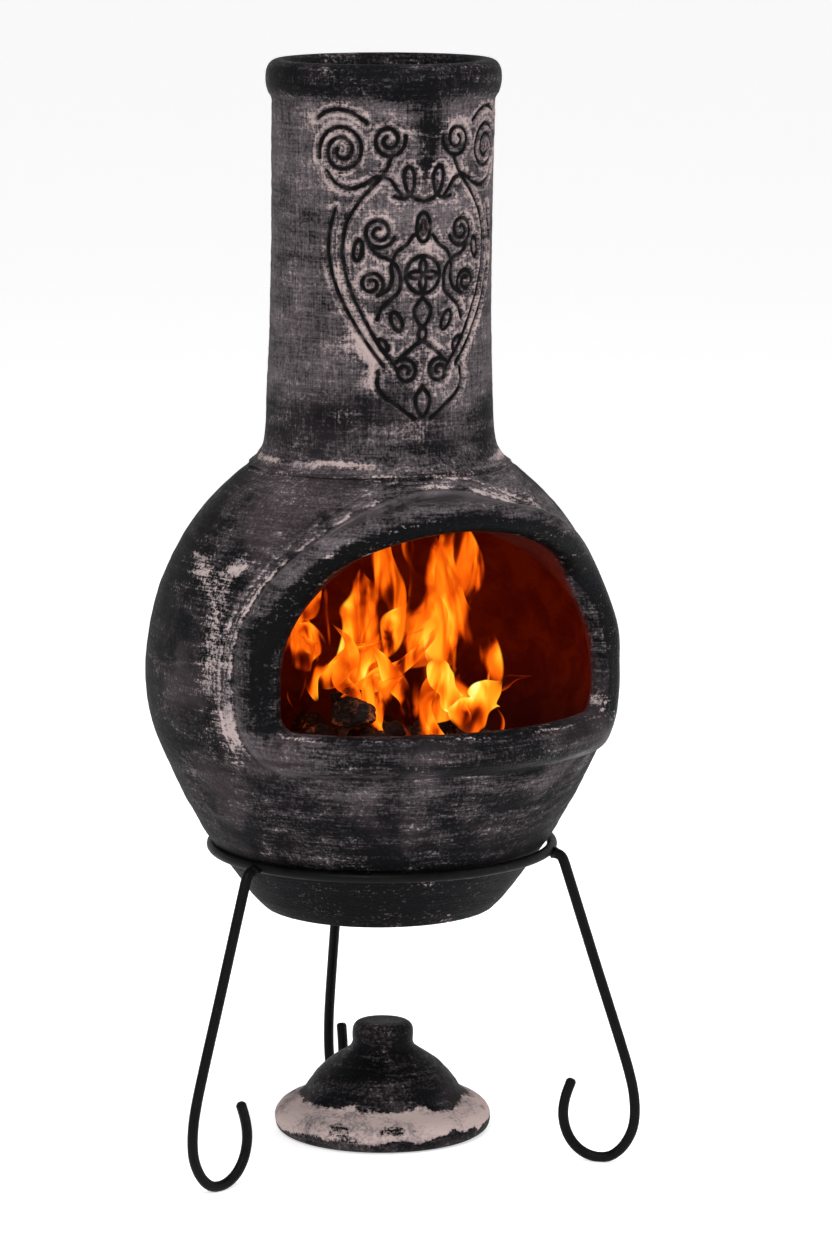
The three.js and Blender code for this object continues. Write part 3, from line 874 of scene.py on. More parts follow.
    grey = 0.06 + 0.12 * fbm(V, 70.0, 71, 2) + grey_band
    grey += 0.31 * bump(z, 436, 8, 8) * bump(psi, 0, 60, 20) * front_roll
    # painted shade: the right-hand part of the roll is painted darker
    grey -= 0.13 * ramp(psi, 24, 36) * bump(z, 510, 70, 24) * front_roll
    # painted shade: darker low down, from about the hoop's height to the foot
    grey -= 0.12 * ramp(-z, -318, -296)
    away = ramp(np.abs(psi), 92, 118)
    # at the back: greyer, more so high up; the base there is painted darker as shade
    grey += away * (0.15 + 0.14 * ramp(z, 560, 640) - 0.16 * ramp(-z, -318, -296))
    grey += 0.10 * ramp(-z, -440, -400) * (1 - ramp(-z, -300, -262))
    grey += 0.26 * bump(z, 402, 9, 12) * bump(psi, 5, 55, 20) * (0.5 + 0.5 * ridge)
    grey += 0.06 * ramp(z, 585, 640) * (1 - front_roll)
    grey += 0.14 * ramp(-psi, 45, 60) * ramp(psi, -92, -74) * ramp(z, 430, 470) * ramp(-z, -640, -560)
    grey += 0.22 * crease2 * (0.4 + 0.6 * np.maximum(left_side, 0.0))
    inner_half = ramp(-d_mouth, -21.0, -12.0) * (0.30 + 0.70 * ramp(z, 452, 482))
    roll_top_highlight = ramp(z, 548, 600) * ramp(-psi, -62, -30)
    grey += 0.30 * bump(psi, 32, 24, 16) * ramp(z, 575, 610) * (1 - front_roll)
    # painted shade: the roll is a little darker all over, and its inner half, facing down and in towards the opening,
    # is painted darker still, less so on the sill
    grey -= front_roll * (0.12 + 0.34 * inner_half)
    # painted highlight: the roll's outer half is painted lighter on its upward-facing top and on its left-hand part
    grey += front_roll * (1 - inner_half) * (0.40 * roll_top_highlight + (0.15 + 0.12 * noise3(V, 20.0, 78)) * ramp(-psi, 20, 40))
    # painted sheen: a thin lighter grey line along the opening's inner edge, stronger towards the right
    inner_edge_sheen = np.exp(-(((d_mouth - 4.0) / 4.0) ** 2)) * outer * ramp(z, 470, 500)
    grey += inner_edge_sheen * (0.02 + 0.11 * ramp(psi, 8, 40))
    # painted shade: the left flank, where it turns edge-on to the front, is painted darker
    grey -= 0.16 * ramp(-psi, 82, 104) * ramp(psi, -142, -112)
    # painted shade: darker again below about the hoop's height and below the sill
    grey -= 0.10 * ramp(-z, -330, -300) + 0.07 * ramp(-z, -446, -430)
    # painted shade: the right flank below the shoulder is painted darker
    grey -= 0.38 * ramp(psi, 46, 60) * ramp(-psi, -92, -72) * ramp(-z, -595, -560)
    crest = np.exp(-(((d_mouth - 16.5) / 2.6) ** 2)) * ramp(z, 596, 618) * front_roll
    pale += crest * (0.62 * bump(psi, -14, 5, 3) + 0.50 * bump(psi, -32, 2.5, 3) + 0.36 * noise3(V, (16, 16, 6), 77))
    pale += 0.16 * np.exp(-(((off - 8.0) / 8.0) ** 2)) * outside_side * left_side
    shadow = np.exp(-(((off - 1.0) / 3.0) ** 2)) * outside_side * ramp(-z, -452, -430)
    # painted firelight: the strength of the cavity wall's red glow, fading towards the top and weaker on the left
    glow_and_painted_firelight = inside * (0.35 + 0.65 * ramp(z, 395, 470)) * (1 - 0.5 * ramp(z, 560, 660))
    glow_and_painted_firelight = glow_and_painted_firelight * (0.75 + 0.25 * ramp(psi, -60, 60))
    obj = make_mesh(
        "fire_bowl_skin",
        lean(V),
        quads,
        material,
        {
            "pale": np.clip(pale, 0, 1) * outer,
            "grey": np.clip(grey, -0.6, 1),
            "groove": 0.35 * shadow * 0,
            "inside": inside,
            "glow_and_painted_firelight": glow_and_painted_firelight,
            "gloss": front_roll,
            "off": np.clip(off, -25, 60),
            "rim": np.clip(d_mouth, -20, 60),
            "crease": show * outer,
            "sill": (0.35 + 0.65 * ramp(-z, -470, -452)) * outer * ramp(f_frame, 9.0, 3.0),
        },
    )
    return obj


# ----------------------------------------------------------------------------------------------- carved scrollwork
# The carving is unrolled: u is the distance round the neck from the front, z the height, both in millimetres.
def spiral(cu, cz, r0, r1, turns, start, squash=1.0, n=60):
    t = np.linspace(0, 1, n)
    a = np.radians(start) + t * turns * 2 * np.pi
    r = r0 + (r1 - r0) * t
    return np.stack([cu + r * np.cos(a) * squash, cz + r * np.sin(a)], 1)


def loop(cu, cz, ru, rz, turn=0.0, n=32):
    a = np.linspace(0, 2 * np.pi, n, endpoint=False)
    c, s = math.cos(math.radians(turn)), math.sin(math.radians(turn))
    u, v = ru * np.cos(a), rz * np.sin(a)
    pts = np.stack([cu + u * c - v * s, cz + u * s + v * c], 1)
    return np.vstack([pts, pts[0]])


def carving():
    """Left-hand strokes, mirrored for the right: a plain pointed medallion of scrolls and loops, of the kind cut into garden pottery."""
    half = []
    # corner scroll, its tail running in along the top of the medallion
    half.append(spiral(-80, 976, 4.6, 24.5, 2.1, 160))
    half.append(catmull([(-95.1, 956.7), (-86, 946), (-72, 941), (-58, 945), (-46, 952), (-34, 950), (-27, 941), (-22, 935)], 8))
    half.append(catmull([(-106, 1006), (-96, 1012), (-82, 1014), (-68, 1010), (-56, 1002)], 8))
    # smaller scroll beside it, crossing the tail and becoming the medallion's edge
    half.append(spiral(-35, 986, 3.8, 17.0, 1.7, 120, 0.95))
    half.append(catmull([(-32.5, 969.3), (-38, 957), (-50, 943), (-63, 928), (-74, 910), (-78, 890), (-76, 868), (-69, 846), (-57, 822), (-43, 798), (-31, 782), (-24, 772)], 8))
    # little loops along the top
    half.append(catmull([(-29, 934), (-22, 932), (-14, 935), (-10, 945), (-11, 957), (-16, 962), (-20, 955), (-18, 942), (-11, 933), (0, 929)], 8))
    # outer border of the medallion
    half.append(catmull([(-86, 922), (-92, 900), (-92, 878), (-85, 852), (-73, 828), (-59, 806), (-46, 788), (-37, 776)], 8))
    # upper scroll inside, its tail winding round the ring
    half.append(spiral(-43, 901, 3.4, 15.5, 1.75, 70))
    half.append(catmull([(-51.9, 888.3), (-44, 880), (-34, 876), (-25, 868), (-22, 856), (-24, 845), (-32, 838), (-40, 830), (-44, 820)], 8))
    # lower scroll, wound the other way
    half.append(spiral(-50, 853, 3.4, 12.5, -1.5, 120))
    half.append(catmull([(-43.8, 842.2), (-34, 848), (-30, 858), (-31, 870), (-26, 882), (-16, 890), (-10, 898)], 8))
    # drops set between the scrolls
    half.append(loop(-63, 884, 4.2, 9.5, -8))
    half.append(loop(-25.5, 818, 4.6, 9.5, 24))
    half.append(loop(-38, 796, 3.6, 6.5, 30))
    # foot: two scrolls and a finial
    half.append(spiral(-17, 771, 3.0, 12.5, 1.45, -30))
    half.append(catmull([(-22.8, 782), (-14, 790), (-6, 796), (0, 799)], 8))
    half.append(catmull([(-42, 772), (-43, 760), (-37, 749), (-26, 741), (-16, 733), (-8, 727)], 8))
    lines = []
    for h in half:
        lines.append(h)
        lines.append(h * np.array([-1.0, 1.0]))
    # on the centre line: a four-petalled rosette in a ring at the middle, with loops above and below it
    lines.append(loop(0, 861, 17.5, 17.5))
    for a in (0, 90, 180, 270):
        c, s = math.cos(math.radians(a)), math.sin(math.radians(a))
        lines.append(loop(7.4 * c, 861 + 7.4 * s, 6.6, 3.2, a, 18))
    lines.append(loop(0, 905, 7.0, 13.5))
    lines.append(loop(0, 905, 2.2, 6.5))
    lines.append(catmull([(0, 840), (7.5, 830), (6.5, 820), (0, 813), (-6.5, 820), (-7.5, 830), (0, 840)], 8))
    lines.append(loop(0, 805.5, 4.2, 6.0))
    lines.append(catmull([(0, 757), (7, 747), (5.5, 736), (0, 729), (-5.5, 736), (-7, 747), (0, 757)], 8))
    return lines


NECK_R = 105.0
CARVE = carving()


def carve_distance():
    """Distance to the nearest carved line over the unrolled neck, at 0.7 mm."""
    u0, u1, z0, z1, step = -124.0, 124.0, 712.0, 1034.0, 0.7
    nx, ny = int((u1 - u0) / step) + 1, int((z1 - z0) / step) + 1
    best = np.full((nx, ny), 60.0)
    reach = 16.0
    for line in CARVE:
        for a, b in zip(line[:-1], line[1:]):
            lo, hi = np.minimum(a, b) - reach, np.maximum(a, b) + reach
            i0, i1 = max(0, int((lo[0] - u0) / step)), min(nx, int((hi[0] - u0) / step) + 2)
            j0, j1 = max(0, int((lo[1] - z0) / step)), min(ny, int((hi[1] - z0) / step) + 2)
            if i0 >= i1 or j0 >= j1:
                continue
            X = (u0 + step * np.arange(i0, i1))[:, None]
            Y = (z0 + step * np.arange(j0, j1))[None, :]
            ab = b - a
            L = max(ab @ ab, 1e-9)
            t = np.clip(((X - a[0]) * ab[0] + (Y - a[1]) * ab[1]) / L, 0, 1)
            d = np.hypot(X - a[0] - t * ab[0], Y - a[1] - t * ab[1])
            best[i0:i1, j0:j1] = np.minimum(best[i0:i1, j0:j1], d)
    g = Grid2.__new__(Grid2)
    g.x0, g.y0, g.step, g.nx, g.ny, g.v = u0, z0, step, nx, ny, best
    return g


CHIMNEY_OUT = [
    (122.3, 674.3), (121.3, 676.0), (119.3, 678.6), (116.5, 681.6), (113.6, 686), (111.2, 692), (109.5, 701), (108.2, 716), (107.1, 750),
    (105.8, 790), (104.9, 845), (104.5, 900), (104.8, 960), (105, 1008), (105, 1017.5), (106.2, 1021), (108.6, 1024.6), (110.6, 1031), (111.1, 1039.5),
    (109.7, 1047.5), (106, 1052.8), (100.3, 1055.2), (94.8, 1054), (90.8, 1049.6), (88.8, 1043), (88, 1033),
]


def build_chimney(material):
    fine = 1.25
    # columns: dense where the carving is, coarse behind
    half_deg = 62.0
    step_deg = math.degrees(fine / NECK_R)
    n_front = int(round(2 * half_deg / step_deg))
    front = np.linspace(-half_deg, half_deg, n_front + 1)
    n_back = 96
    back = np.linspace(half_deg, 360 - half_deg, n_back + 1)[1:-1]
    ang = np.concatenate([front, back])
    nc = len(ang)
    curve = catmull(CHIMNEY_OUT, 10)
    d = np.concatenate([[0], np.cumsum(np.linalg.norm(np.diff(curve, axis=0), axis=1))])
    # rows along the outside profile
    zs, rows = curve[:, 1], []
    stops = []
    pos = 0.0
    while pos < d[-1]:
        stops.append(pos)
        zz = np.interp(pos, d, curve[:, 1])
        if 722 <= zz <= 1022 and pos < d[np.argmax(zs)]:
            pos += fine
        elif zz < 722 and pos < 100:
            pos += 2.6
        else:
            pos += 2.4
    stops.append(d[-1])
    R = np.interp(stops, d, curve[:, 0])
    Z = np.interp(stops, d, curve[:, 1])
    inner = np.array([(88, z) for z in np.linspace(1016, 690, 13)] + [(88, 680), (88.6, 675.4), (90, 674.3), (104, 674.3), (116, 674.3)], float)
    R, Z = np.concatenate([R, inner[:, 0]]), np.concatenate([Z, inner[:, 1]])
    nr = len(R)
    A = np.radians(ang)
    RR, AA = np.meshgrid(R, A, indexing="ij")
    ZZ = np.repeat(Z[:, None], nc, 1)
    V = np.stack([RR * np.sin(AA), -RR * np.cos(AA), ZZ], -1).reshape(-1, 3)
    quads = ring_faces(nr, nc, closed_rows=True)
    N = vertex_normals(V, quads)
    rad = np.stack([np.sin(AA), -np.cos(AA), 0 * AA], -1).reshape(-1, 3)
    if ((N * rad).sum(1)[: nc * 40].mean()) < 0:
        quads = quads[:, ::-1]
        N = -N
    row = np.repeat(np.arange(nr), nc)
    n_outer = len(stops)
    is_in = row >= n_outer - 2
    r, a, z = RR.ravel(), AA.ravel(), V[:, 2]
    deg = np.degrees(a)
    deg = np.where(deg > 180, deg - 360, deg)
    u = NECK_R * np.radians(deg)

    g = carve_distance()
    dist = np.where((np.abs(u) < 122) & (z > 714) & (z < 1032) & ~is_in, g(u, z), 60.0)
    width = 2.55 + 0.40 * noise3(V, 9.0, 81)
    cut = ramp(-dist, -(width + 0.95), -(width - 1.15))
    lip_edge = np.exp(-(((dist - width - 2.6) / 1.5) ** 2))
    carved_zone = ramp(-dist, -16, -6)
    slow = fbm(V, 90.0, 83, 2)
    ridge = fbm(V, (120, 120, 7.0), 85, 2)
    dents = fbm(V, 13.0, 87, 2)
    tooled = fbm(V, 5.0, 89, 2)
    outer = (~is_in).astype(float)
    lip = ramp(z, 1016, 1030)
    disp = (0.62 * slow + 0.30 * ridge + 0.16 * dents) * outer * (1 - 0.5 * lip)
    disp += 0.35 * tooled * carved_zone * outer
    disp += (0.75 * lip_edge - 2.3 * cut) * outer
    # slip smeared up the foot of the neck, a little proud of it
    smear = np.exp(-(((z - 683.6 - 2.2 * noise3(V, 42.0, 97) - 0.9 * noise3(V, 12.0, 98)) / 3.3) ** 2)) * outer
    smear = smear * (0.36 + 0.64 * ramp(noise3(V, 34.0, 99) + 0.5 * bump(deg, -62, 34, 14), -0.60, 0.22))
    disp += 0.85 * smear
    foot = ramp(-z, -690, -675) * outer
    disp += foot * 0.85 * fbm(V, (16, 16, 8), 91, 2) * ramp(z, 674.3, 677)
    V = V + N * disp[:, None]
    # the lip and the top of the neck lean a touch, as the piece left the wheel
    V[:, 2] = np.clip(V[:, 2], 674.3, 1056.0)

    band = lambda lo, hi, soft: ramp(z, lo - soft, lo + soft) * ramp(-z, -hi - soft, -hi + soft)
    halo = ramp(-dist, -15, -5)
    pale = 0.0 * z
    # the carving is wiped pale between its lines
    pale += 0.40 * halo * ramp(z, 735, 760) * (0.86 + 0.30 * noise3(V, 26.0, 84))
    pale += 0.30 * lip_edge * ramp(z, 728, 745)
    pale += 0.14 * bump(u, -4, 70, 26) * band(925, 1012, 14)
    pale += 0.16 * band(990, 1014, 10)

    def patch(cu, cz, wu, wz, p=2.0):
        du = np.abs(((u - cu + 330) % 660) - 330)
        return np.exp(-((du / wu) ** p + (np.abs(z - cz) / wz) ** p))

    pale += 0.52 * patch(-52, 782, 26, 30) + 0.30 * patch(-84, 800, 22, 16)
    pale += 0.34 * patch(-10, 722, 30, 16) + 0.28 * patch(-96, 1000, 14, 20)
    pale += 0.22 * patch(-128, 960, 20, 60) + 0.20 * patch(-138, 820, 12, 90)
    pale += 0.26 * patch(62, 780, 22, 40) + 0.16 * patch(90, 860, 12, 60)
    pale += 0.36 * patch(210, 930, 46, 50) + 0.34 * patch(-250, 800, 50, 60) + 0.34 * patch(150, 770, 30, 40) + 0.3 * patch(300, 860, 40, 70)
    seam_wave = 3.0 * noise3(V, 45.0, 93) + 1.5 * noise3(V, 15.0, 94)
    gaps = 0.5 + 0.5 * noise3(V, 40.0, 63)
    pale += ramp(-z, -(684 + seam_wave), -676) * 0.22 * gaps + 0.92 * smear
    grey = 0.47 + 0.12 * fbm(V, 60.0, 95, 2)
    grey -= 0.44 * lip
    grey -= 0.50 * band(690, 738, 12) * (0.62 + 0.38 * noise3(V, 44.0, 96))
    grey -= 0.48 * patch(4, 995, 17, 22) + 0.45 * patch(2, 965, 10, 20)
    grey -= 0.20 * patch(-70, 740, 40, 22)
    pale -= 0.75 * patch(4, 992, 17, 24) + 0.3 * patch(-104, 905, 16, 30)
    pale *= 1 - lip
    # the neck's inner wall is painted near-black red as shade inside the tube
    inside = is_in * 1.0 * ramp(-z, -1046, -1020)
    # painted firelight: the inside of the neck glows red low down, fading upwards
    glow_and_painted_firelight = is_in * ramp(-z, -900, -680) * 0.7
    return make_mesh(
        "chimney_skin",
        lean(V),
        quads,
        material,
        {
            "pale": np.clip(pale, 0, 1) * (1 - inside),
            "grey": np.clip(grey, 0, 1) * (1 - 0.8 * inside),
            "groove": cut * outer * (0.86 + 0.14 * noise3(V, 6.0, 82)),
            "inside": inside * 0.85,
            "glow_and_painted_firelight": glow_and_painted_firelight,
            "gloss": 0.3 * lip,
        },
    )


# ----------------------------------------------------------------------------------------------- lid
LID = [
    (0, 69), (12, 68.6), (22, 67), (32, 63.5), (40, 59.5), (48, 53.6), (55, 47), (60.5, 40), (65, 33), (70.5, 26), (75, 20), (80, 14.6), (84, 10),
    (86.2, 6), (87.4, 2.4), (90, 0.2), (93, 0.0), (96.4, 0.2), (100.6, 1.8), (103.4, 4.4), (105.2, 8.4), (106.1, 14), (105.2, 18.8), (102.6, 23), (98.4, 26.6), (90.5, 30.9), (82.5, 34.8),
    (77.3, 39.8), (73, 46.5), (66.5, 55.5), (57.5, 64.8), (46.5, 73), (37.2, 78.8), (31.6, 83.2), (29.5, 88), (29.7, 93), (29.8, 98), (28.9, 103),
    (25.6, 107.2), (19, 108.9), (10, 109.0), (0, 109.0),
]
LID_AT = np.array([29.8, 72.1, 0.0])


def build_lid(material):
    curve = catmull(LID[1:-1], 6)
    d = np.concatenate([[0], np.cumsum(np.linalg.norm(np.diff(curve, axis=0), axis=1))])
    n = int(d[-1] / (1.7))
    t = np.linspace(0, d[-1], n)
    R, Z = np.interp(t, d, curve[:, 0]), np.interp(t, d, curve[:, 1])
    nc = 288
    A = np.linspace(0, 2 * np.pi, nc, endpoint=False)
    RR, AA = np.meshgrid(R, A, indexing="ij")
    V = np.stack([RR * np.sin(AA), -RR * np.cos(AA), np.repeat(Z[:, None], nc, 1)], -1).reshape(-1, 3)
    nr = len(R)
    quads = ring_faces(nr, nc)
    V = np.vstack([V, [0, 0, 69], [0, 0, 109.0]])
    j = np.arange(nc)
    k = (j + 1) % nc
    caps = np.vstack([np.stack([k, j, np.full(nc, len(V) - 2)], 1), np.stack([(nr - 1) * nc + j, (nr - 1) * nc + k, np.full(nc, len(V) - 1)], 1)])
    N = vertex_normals(V, quads)
    N[-2], N[-1] = (0, 0, -1), (0, 0, 1)
    mid = int(0.62 * nr) * nc
    if N[mid] @ np.array([V[mid][0], V[mid][1], 40.0]) < 0:
        quads, caps, N = quads[:, ::-1], caps[:, ::-1], -N
        N[-2], N[-1] = (0, 0, -1), (0, 0, 1)
    z = V[:, 2].copy()
    rr = np.hypot(V[:, 0], V[:, 1])
    top = np.concatenate([np.repeat(t > np.interp(0.5, [0, 1], [0, 1]) * 0 + d[np.argmin(np.abs(curve[:, 1]) + (curve[:, 0] < 89) * 99)], nc), [False, True]]).astype(float)
    world = V + LID_AT
    slow, ridge, dents = fbm(world, 60.0, 101, 2), fbm(world, (90, 90, 6.0), 103, 2), fbm(world, 11.0, 105, 2)
    disp = (0.75 * slow + 0.30 * ridge + 0.28 * dents) * top * ramp(z, 0.0, 6.0)
    disp *= 1 - ramp(z, 104, 108.6) * 0.8
    V = V + N * disp[:, None]
    V[:, 2] = np.clip(V[:, 2], 0.0, 109.0)
    ang = np.degrees(np.arctan2(V[:, 0], -V[:, 1]))
    wave = 5.6 * fbm(world, 30.0, 107, 3) + 2.0 * noise3(world, 9.0, 108)
    low = 13.5 + 2.5 * noise3(world, 30.0, 109) - 5.0 * bump(ang, -80, 22, 25)
    high = 34.0 + 3.0 * bump(ang, -25, 35, 25) + 1.2 * wave
    pale = ramp(z, low - 3.5 + wave, low + 3.5 + wave) * ramp(-z, -(high + 3.5), -(high - 3.5))
    pale = 1.0 * pale * top * (rr > 60) * (1 - 0.45 * ramp(noise3(world, (22, 22, 11), 113), 0.36, 0.60))
    pale += 0.30 * bump(z, 84, 1.4, 3.5) * bump(ang, -60, 45, 35) * top
    pale += 0.16 * bump(z, 103, 2, 5) * (0.5 + 0.5 * noise3(world, 14.0, 110)) * top
    grey = 0.10 + 0.16 * fbm(world, 40.0, 111, 2) + 0.10 * ramp(-z, -14, -4)
    obj = make_mesh(
        "lid_skin",
        V + LID_AT,
        [quads, caps],
        material,
        {
            "pale": np.clip(pale, 0, 1),
            "grey": np.clip(grey, 0, 1),
            "groove": 0 * z,
            "inside": 0 * z,
            "glow_and_painted_firelight": 0 * z,
            "gloss": 0.5 * ramp(z, 38, 50) * top,
        },
    )
    return obj


# ----------------------------------------------------------------------------------------------- stand
RING_Z, ROD = 304.0, 5.0
LEGS = {"leg_left": -67.5, "leg_right": 54.5, "leg_rear": 170.4}


def ring_radius():
    """The hoop touches the bowl's flank at its own height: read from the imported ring, so that it is the CAD's."""
    lo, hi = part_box("stand_ring")
    return (hi.x - lo.x) / MM / 2 - ROD


def weld(centre, radius, seed, stretch=(1.0, 1.0, 1.0), n=14):
    """A small uneven bead of weld metal."""
    a = np.linspace(0, 2 * np.pi, 2 * n, endpoint=False)
    b = np.linspace(-np.pi / 2, np.pi / 2, n)[1:-1]
    pts = [np.array([0, 0, -1.0])]
    for q in b:
        for p in a:
            pts.append(np.array([math.cos(q) * math.cos(p), math.cos(q) * math.sin(p), math.sin(q)]))
    pts.append(np.array([0, 0, 1.0]))
    D = np.array(pts)
    R = radius * (1 + 0.16 * noise3(D * 10 + seed * 7.0, 5.0, seed) + 0.05 * noise3(D * 10, 1.7, seed + 1))
    V = centre + D * R[:, None] * np.array(stretch)
    rows, cols = n - 2, 2 * n
    quads = ring_faces(rows, cols, base=1)
    j = np.arange(cols)
    k = (j + 1) % cols
    tris = np.vstack([np.stack([np.zeros(cols, int), k + 1, j + 1], 1), np.stack([1 + (rows - 1) * cols + j, 1 + (rows - 1) * cols + k, np.full(cols, len(V) - 1)], 1)])
    return V, [quads, tris]


def join(parts):
    """Several (points, faces) pieces in one."""
    Vs, quads, tris, base = [], [], [], 0
    for V, faces in parts:
        Vs.append(V)
        for f in faces:
            (quads if f.shape[1] == 4 else tris).append(f + base)
        base += len(V)
    out = []
    if quads:
        out.append(np.vstack(quads))
    if tris:
        out.append(np.vstack(tris))
    return np.vstack(Vs), out


def build_ring(material):
    R = ring_radius()
    n = 220
    a = np.linspace(0, 2 * np.pi, n, endpoint=False)
    # a hand-bent hoop: out of round by a few tenths
    wob = 0.35 * np.sin(2 * a + 0.6) + 0.2 * np.sin(5 * a + 2.0)
    P = np.stack([(R + wob) * np.sin(a), -(R + wob) * np.cos(a), np.full(n, RING_Z)], 1)
    parts = [sweep(P, ROD, 22, closed=True)]
    # the hoop's own butt weld, at the back
    w = math.radians(128)
    parts.append(weld(np.array([R * math.sin(w), -R * math.cos(w), RING_Z]), 5.7, 5, (1.0, 1.0, 0.95), 10))
    V, faces = join(parts)
    return make_mesh("stand_ring_skin", V, faces, material)


def build_leg(name, psi, material, seed):
    R = ring_radius()
    pts = [
        (R + 3.2, 301.3), (R + 8.8, 300.7), (R + 12.6, 298.6), (R + 15.2, 294), (181.8, 285), (186.6, 270), (211.4, 192), (236.6, 114), (243.2, 92),
        (247.8, 72), (249.5, 54), (248.2, 38), (243.2, 24.4), (235.2, 13.2), (225.4, 6.2), (214.5, 4.4), (203.6, 6.6), (193.6, 12.6),
        (185.6, 22.4), (180.8, 34.5), (179.4, 47.5), (181.6, 62), (187.8, 80),
    ]
    c = catmull(pts, 9)
    d = np.concatenate([[0], np.cumsum(np.linalg.norm(np.diff(c, axis=0), axis=1))])
    n = 210
    t = np.linspace(0, d[-1], n)
    r, z = np.interp(t, d, c[:, 0]), np.interp(t, d, c[:, 1])
    a = math.radians(psi)
    dirn = np.array([math.sin(a), -math.cos(a)])
    side = np.array([-dirn[1], dirn[0]])
    P = np.stack([r * dirn[0], r * dirn[1], z], 1)
    radii = np.full(n, ROD)
    # the cut end of the bar has its edge taken off
    tail = (d[-1] - t)
    radii = np.where(tail < 1.6, ROD * np.sqrt(np.clip(1 - ((1.6 - tail) / 2.2) ** 2, 0.1, 1)), radii)
    V, faces = sweep(P, ROD, 20, radii=radii)
    V[:, 2] = np.maximum(V[:, 2], 0.0)
    w1 = np.array([(R + 5.0) * dirn[0], (R + 5.0) * dirn[1], 302.2])
    parts = [(V, faces), weld(w1, 6.2, seed, (1.0, 1.0, 0.82), 12)]
    for sgn in (-1, 1):
        p = w1 + np.array([side[0], side[1], 0]) * 4.6 * sgn + np.array([0, 0, -0.6])
        parts.append(weld(p, 3.1, seed + 2 + sgn, (1.2, 1.2, 0.9), 8))
    V, faces = join(parts)
    return make_mesh(name + "_skin", V, faces, material)


# ----------------------------------------------------------------------------------------------- sand and charcoal
def build_sand(material):
    lo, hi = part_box("sand_bed")
    R = (hi.x - lo.x) / MM / 2
    z0, z1 = lo.z / MM, hi.z / MM
    # top as a height field, sides down the wall, closed below
    wall = [(0, z0), (60, z0), (97.5, z0), (110.5, z0 + 8.0), (124.5, z0 + 22.5), (137.4, z0 + 39.0), (149.5, z0 + 57.5), (160.5, z0 + 77.0), (171.5, z0 + 97.0), (R - 1.5, z1 - 2.2)]
    nc = 120
    radii = list(np.linspace(R - 1.5, 0, 62)[:-1])
    rows = [(r, z) for r, z in wall[1:]] + [(r, z1 - 2.2) for r in radii[1:]]
    A = np.linspace(0, 2 * np.pi, nc, endpoint=False)
    V = []
    for r, z in rows:
        V.append(np.stack([r * np.sin(A), -r * np.cos(A), np.full(nc, z)], 1))
    V = np.vstack(V + [np.array([[0, 0, z0], [0, 0, z1 - 2.2]])])
    top = np.concatenate([np.repeat(np.arange(len(rows)) >= len(wall) - 1, nc), [False, True]])
    lumps = 1.9 * fbm(V, 34.0, 121, 2) + 0.8 * fbm(V, 9.0, 123, 2)
    V[:, 2] += np.where(top, lumps, 0)
    V[:, 2] = np.clip(V[:, 2], z0, z1 + 2.0)
    nr = len(rows)
    quads = ring_faces(nr, nc)
    j = np.arange(nc)
    k = (j + 1) % nc
    tris = np.vstack([np.stack([k, j, np.full(nc, len(V) - 2)], 1), np.stack([(nr - 1) * nc + j, (nr - 1) * nc + k, np.full(nc, len(V) - 1)], 1)])
    quads, tris = quads, tris
    glow_and_painted_firelight = np.exp(-((V[:, 0] + 25) ** 2 + (V[:, 1] + 30) ** 2) / 80.0**2) * top
    return make_mesh("sand_bed_skin", V, [quads, tris], material, {"glow_and_painted_firelight": glow_and_painted_firelight})


def icosphere(level):
    """A sphere of triangles."""
    t = (1 + 5**0.5) / 2
    V = [np.array(v, float) for v in [(-1, t, 0), (1, t, 0), (-1, -t, 0), (1, -t, 0), (0, -1, t), (0, 1, t), (0, -1, -t), (0, 1, -t), (t, 0, -1), (t, 0, 1), (-t, 0, -1), (-t, 0, 1)]]
    V = [v / np.linalg.norm(v) for v in V]
    F = [(0, 11, 5), (0, 5, 1), (0, 1, 7), (0, 7, 10), (0, 10, 11), (1, 5, 9), (5, 11, 4), (11, 10, 2), (10, 7, 6), (7, 1, 8), (3, 9, 4), (3, 4, 2), (3, 2, 6), (3, 6, 8), (3, 8, 9), (4, 9, 5), (2, 4, 11), (6, 2, 10), (8, 6, 7), (9, 8, 1)]
    for _ in range(level):
        cache, G = {}, []

        def half(a, b):
            key = (min(a, b), max(a, b))
            if key not in cache:
                m = V[a] + V[b]
                V.append(m / np.linalg.norm(m))
                cache[key] = len(V) - 1
            return cache[key]

        for a, b, c in F:
            ab, bc, ca = half(a, b), half(b, c), half(c, a)
            G += [(a, ab, ca), (b, bc, ab), (c, ca, bc), (ab, bc, ca)]
        F = G
    return np.array(V), np.array(F)


BALL_V, BALL_F = icosphere(4)


